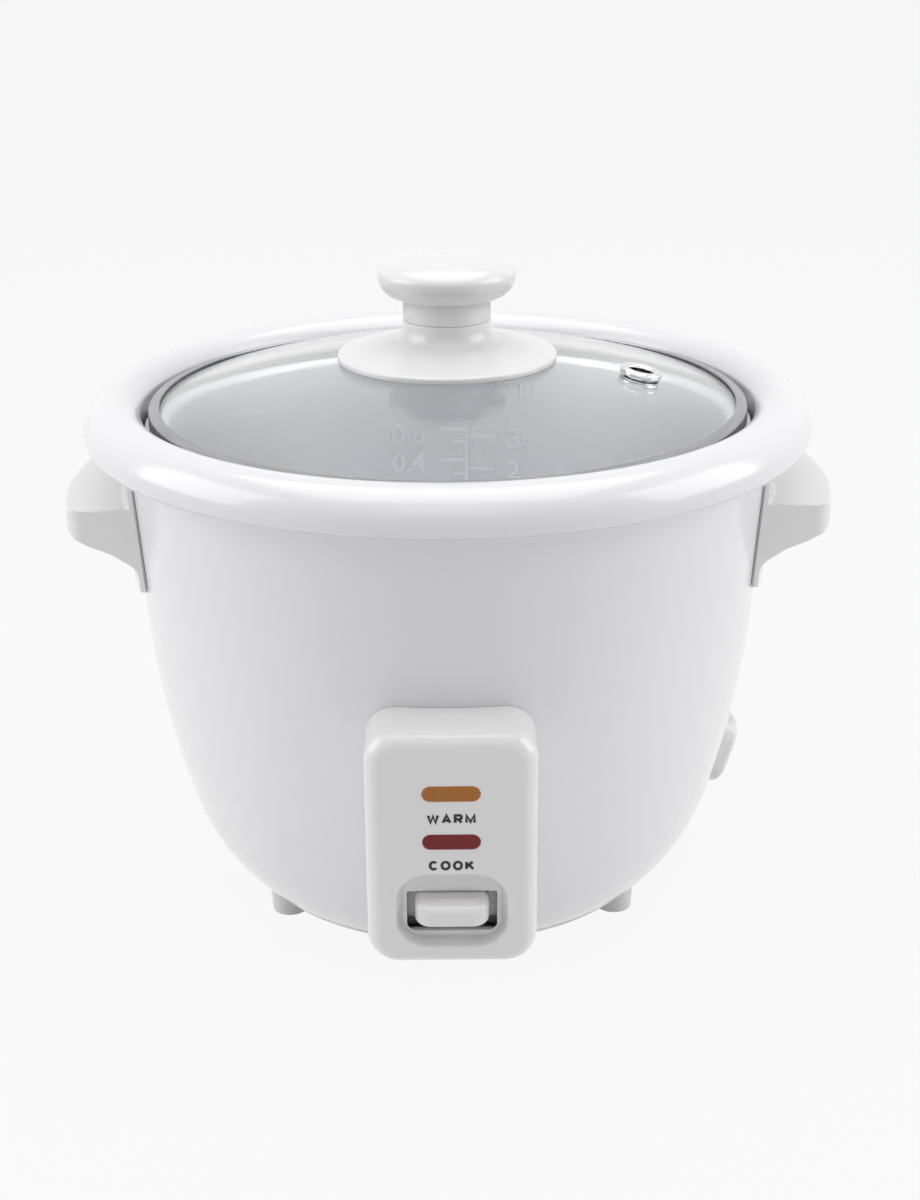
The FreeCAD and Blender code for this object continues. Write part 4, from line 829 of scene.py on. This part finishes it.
clear_glass = lid_glass_finish()
share = np.linspace(0, 1, 90)
glass_points = np.concatenate([glass_sheet(0.0, share), glass_sheet(glass_t, share[::-1])])
skin("lid_dome", glass_points, "lid", clear_glass, ["lid_glass"], along=True)


# Lid band: a thin stainless strip folded over the edge of the glass, with a polished rounded top.
# Its upper lip lies on the dome, a fine gap above it.
polished_steel = grained(
    "polished_steel", (0.34, 0.34, 0.35), (0.42, 0.42, 0.43), (0.16, 0.28), 60, 0.000006, 1.0, (1, 1, 30)
)
lip_radius, band_inner, band_outer = 87.6, 90.35, 91.05
band_floor = band_base + band_t
band_over = float(dome_height(glass_radius)) + lid_gap
band_lip = float(dome_height(lip_radius)) + lid_gap
band_section = rounded(
    [
        (lip_radius, band_base, 0.25), (band_outer, band_base, 0.6),
        (band_outer, band_over + band_t, 0.9), (lip_radius, band_lip + band_t, 0.3),
        (lip_radius, band_lip, 0.1), (band_inner, band_over, 0.2),
        (band_inner, band_floor, 0.1), (lip_radius, band_floor, 0.25),
    ],
    8,
)
band_points = turn_section(band_section, 288)
skin("lid_edge_band", band_points, "lid", polished_steel, ["lid_rim_band"], along=True)


# Knob: a white seat disc on the glass and a mushroom grip on its neck, parted by a fine seam.
# One screw from under the glass, through a soft washer, holds both.
soft_washer = grained("soft_washer", (0.70, 0.70, 0.69), (0.78, 0.78, 0.77), (0.45, 0.60), 500, 0.00002)
dress(soft_washer, "knob_washer")
dress(zinc_plate, "knob_screw")
apex = dome_axis + dome_bend
seam = apex + 10.2
seat_radius, bore_radius, neck_radius = 33.3, 2.1, 13.3
edge_height = float(dome_height(seat_radius)) + lid_gap + 1.7
seat_under = np.linspace(bore_radius, seat_radius, 24)
seat_corners = [
    (seat_radius, edge_height - 1.4, 0), (seat_radius, edge_height, 0.9), (24.0, edge_height + 2.2, 30.0),
    (neck_radius, edge_height + 4.4, 4.5), (neck_radius, seam - 0.01, 0.35), (12.0, seam, 0),
]
seat_section = np.concatenate([
    np.stack([seat_under, dome_height(seat_under) + lid_gap], axis=1),
    rounded(seat_corners, 12, closed=False),
    np.array([[bore_radius, seam]]),
])
seat_points = turn_section(seat_section, 192)
skin("knob_disc", seat_points, "lid", white_moulding, ["knob_seat"], along=True)
cap_start, cap_reach, cap_under, cap_over = 14.6, 6.2, 6.6, 6.3
grip_base = seam + 0.06
stem_top = grip_base + 6.8
wide = stem_top + cap_under
under_cap = np.linspace(0, np.pi / 2, 17)
over_cap = np.linspace(0, np.pi / 2, 25)[1:]
stem = [(0.01, grip_base, 0), (neck_radius, grip_base, 0.35), (neck_radius, stem_top, 0), (14.2, stem_top, 0)]
grip_section = np.concatenate([
    rounded(stem, 6, closed=False),
    np.stack([cap_start + cap_reach * np.sin(under_cap), wide - cap_under * np.cos(under_cap)], axis=1),
    np.stack([0.01 + 20.79 * np.cos(over_cap) ** 0.9, wide + cap_over * np.sin(over_cap)], axis=1),
])
grip_points = turn_section(grip_section, 192)
skin("knob_mushroom", grip_points, "lid", white_moulding, ["knob_grip"], along=True)


# Steam vent: a chromed eyelet pressed through the glass, with a rolled flange on top.
# It is turned upright, leaned square to the dome, then swung to its place on the right.
mirror_chrome = grained(
    "mirror_chrome", (0.76, 0.76, 0.77), (0.80, 0.80, 0.81), (0.04, 0.09), 200, 0.000004, 1.0
)
vent_tilt = math.asin(vent_radius / dome_bend)
vent_profile = rounded(
    [
        (3.75, -4.45, 0.3), (6.5, -4.45, 0.3), (6.5, -3.65, 0.2), (4.6, -3.65, 0),
        (4.6, 0.15, 0), (6.5, 0.15, 0.9), (6.5, 2.35, 1.05), (3.75, 2.35, 1.05),
    ],
    9,
)
ring = turn_section(vent_profile, 96)
leaned = np.stack([
    ring[..., 0] * math.cos(vent_tilt) + ring[..., 2] * math.sin(vent_tilt) + vent_radius,
    ring[..., 1],
    ring[..., 2] * math.cos(vent_tilt) - ring[..., 0] * math.sin(vent_tilt) + float(dome_height(vent_radius)),
], axis=-1)
vent_points = np.stack([
    leaned[..., 0] * math.cos(vent_turn) - leaned[..., 1] * math.sin(vent_turn),
    leaned[..., 0] * math.sin(vent_turn) + leaned[..., 1] * math.cos(vent_turn),
    leaned[..., 2],
], axis=-1)
skin("vent_eyelet", vent_points, "lid", mirror_chrome, ["steam_vent_eyelet"], along=True)


# Stage: a pale floor and an even pale surround, both white to the camera and in reflections.
# The floor still shows a soft shadow under the cooker.
def seen_directly(tree):
    """A socket that is 1 for rays from the camera, a reflection or a view through glass, and 0 for others."""
    ray = tree.nodes.new("ShaderNodeLightPath")
    either, any_of = tree.nodes.new("ShaderNodeMath"), tree.nodes.new("ShaderNodeMath")
    either.operation = any_of.operation = "MAXIMUM"
    tree.links.new(ray.outputs["Is Camera Ray"], either.inputs[0])
    tree.links.new(ray.outputs["Is Glossy Ray"], either.inputs[1])
    tree.links.new(either.outputs["Value"], any_of.inputs[0])
    tree.links.new(ray.outputs["Is Transmission Ray"], any_of.inputs[1])
    return any_of.outputs["Value"]


def stage_floor():
    """A wide floor, nearly white where it is seen, with a little of its own shading left for the shadow."""
    mesh = bpy.data.meshes.new("floor")
    reach = 6.0
    corners = [(-reach, -reach, 0), (reach, -reach, 0), (reach, reach, 0), (-reach, reach, 0)]
    mesh.from_pydata(corners, [], [(0, 1, 2, 3)])
    material, tree, shader = new_material("pale_floor")
    shader.inputs["Base Color"].default_value = (0.80, 0.80, 0.80, 1)
    shader.inputs["Roughness"].default_value = 0.9
    glow = tree.nodes.new("ShaderNodeEmission")
    glow.inputs["Color"].default_value = (0.955, 0.955, 0.955, 1)
    part = tree.nodes.new("ShaderNodeMath")
    part.operation = "MULTIPLY"
    part.inputs[1].default_value = 0.95
    mix = tree.nodes.new("ShaderNodeMixShader")
    tree.links.new(seen_directly(tree), part.inputs[0])
    tree.links.new(part.outputs["Value"], mix.inputs["Fac"])
    tree.links.new(shader.outputs["BSDF"], mix.inputs[1])
    tree.links.new(glow.outputs["Emission"], mix.inputs[2])
    tree.links.new(mix.outputs["Shader"], tree.nodes["Material Output"].inputs["Surface"])
    mesh.materials.append(material)
    floor = bpy.data.objects.new("floor", mesh)
    bpy.context.scene.collection.objects.link(floor)


def stage_world():
    """An even surround: dim as a light, nearly white where it is seen."""
    world = bpy.data.worlds.new("surround")
    bpy.context.scene.world = world
    world.use_nodes = True
    tree = world.node_tree
    soft = tree.nodes["Background"]
    soft.inputs["Color"].default_value = (0.98, 0.98, 1.0, 1)
    soft.inputs["Strength"].default_value = 0.27
    white = tree.nodes.new("ShaderNodeBackground")
    white.inputs["Color"].default_value = (0.955, 0.955, 0.955, 1)
    mix = tree.nodes.new("ShaderNodeMixShader")
    tree.links.new(seen_directly(tree), mix.inputs["Fac"])
    tree.links.new(soft.outputs["Background"], mix.inputs[1])
    tree.links.new(white.outputs["Background"], mix.inputs[2])
    tree.links.new(mix.outputs["Shader"], tree.nodes["World Output"].inputs["Surface"])


def softbox(name, place, target, size, power):
    """A square soft lamp that faces a point."""
    lamp = bpy.data.lights.new(name, "AREA")
    lamp.shape = "SQUARE"
    lamp.size = size
    lamp.energy = power
    holder = bpy.data.objects.new(name, lamp)
    bpy.context.scene.collection.objects.link(holder)
    way = np.array(target, float) - np.array(place, float)
    holder.location = place
    tilt = math.acos(-way[2] / np.linalg.norm(way))
    holder.rotation_euler = (tilt, 0, math.atan2(way[1], way[0]) - math.pi / 2)


stage_floor()
stage_world()
softbox("left_softbox", (-1.1, -0.15, 0.55), (0, 0, 0.09), 0.9, 6.5)
softbox("right_softbox", (1.1, -0.15, 0.55), (0, 0, 0.09), 0.9, 6.5)
softbox("top_softbox", (0.0, 0.05, 1.3), (0, 0, 0.1), 1.3, 10.5)
softbox("front_fill", (0.0, -1.2, 1.1), (0, 0, 0.16), 0.8, 1.2)

# Camera: in front of the cooker and a little above it, tipped down and rolled very slightly.
# Its lens and shift are in pixels of a picture 1200 tall.
picture_height, focal_pixels, shift_pixels = 1200, 1904.9, 10.6
view = bpy.data.cameras.new("view")
view.sensor_width = 36.0
view.lens = focal_pixels / picture_height * view.sensor_width
view.shift_x = shift_pixels / picture_height
camera = bpy.data.objects.new("view", view)
bpy.context.scene.collection.objects.link(camera)
camera.location = (0.0, -0.567, 0.3145)
camera.rotation_mode = "ZXY"
camera.rotation_euler = (math.radians(90 - 21.27), 0, math.radians(-0.5))
bpy.context.scene.camera = camera
bpy.context.scene.view_settings.view_transform = "Standard"
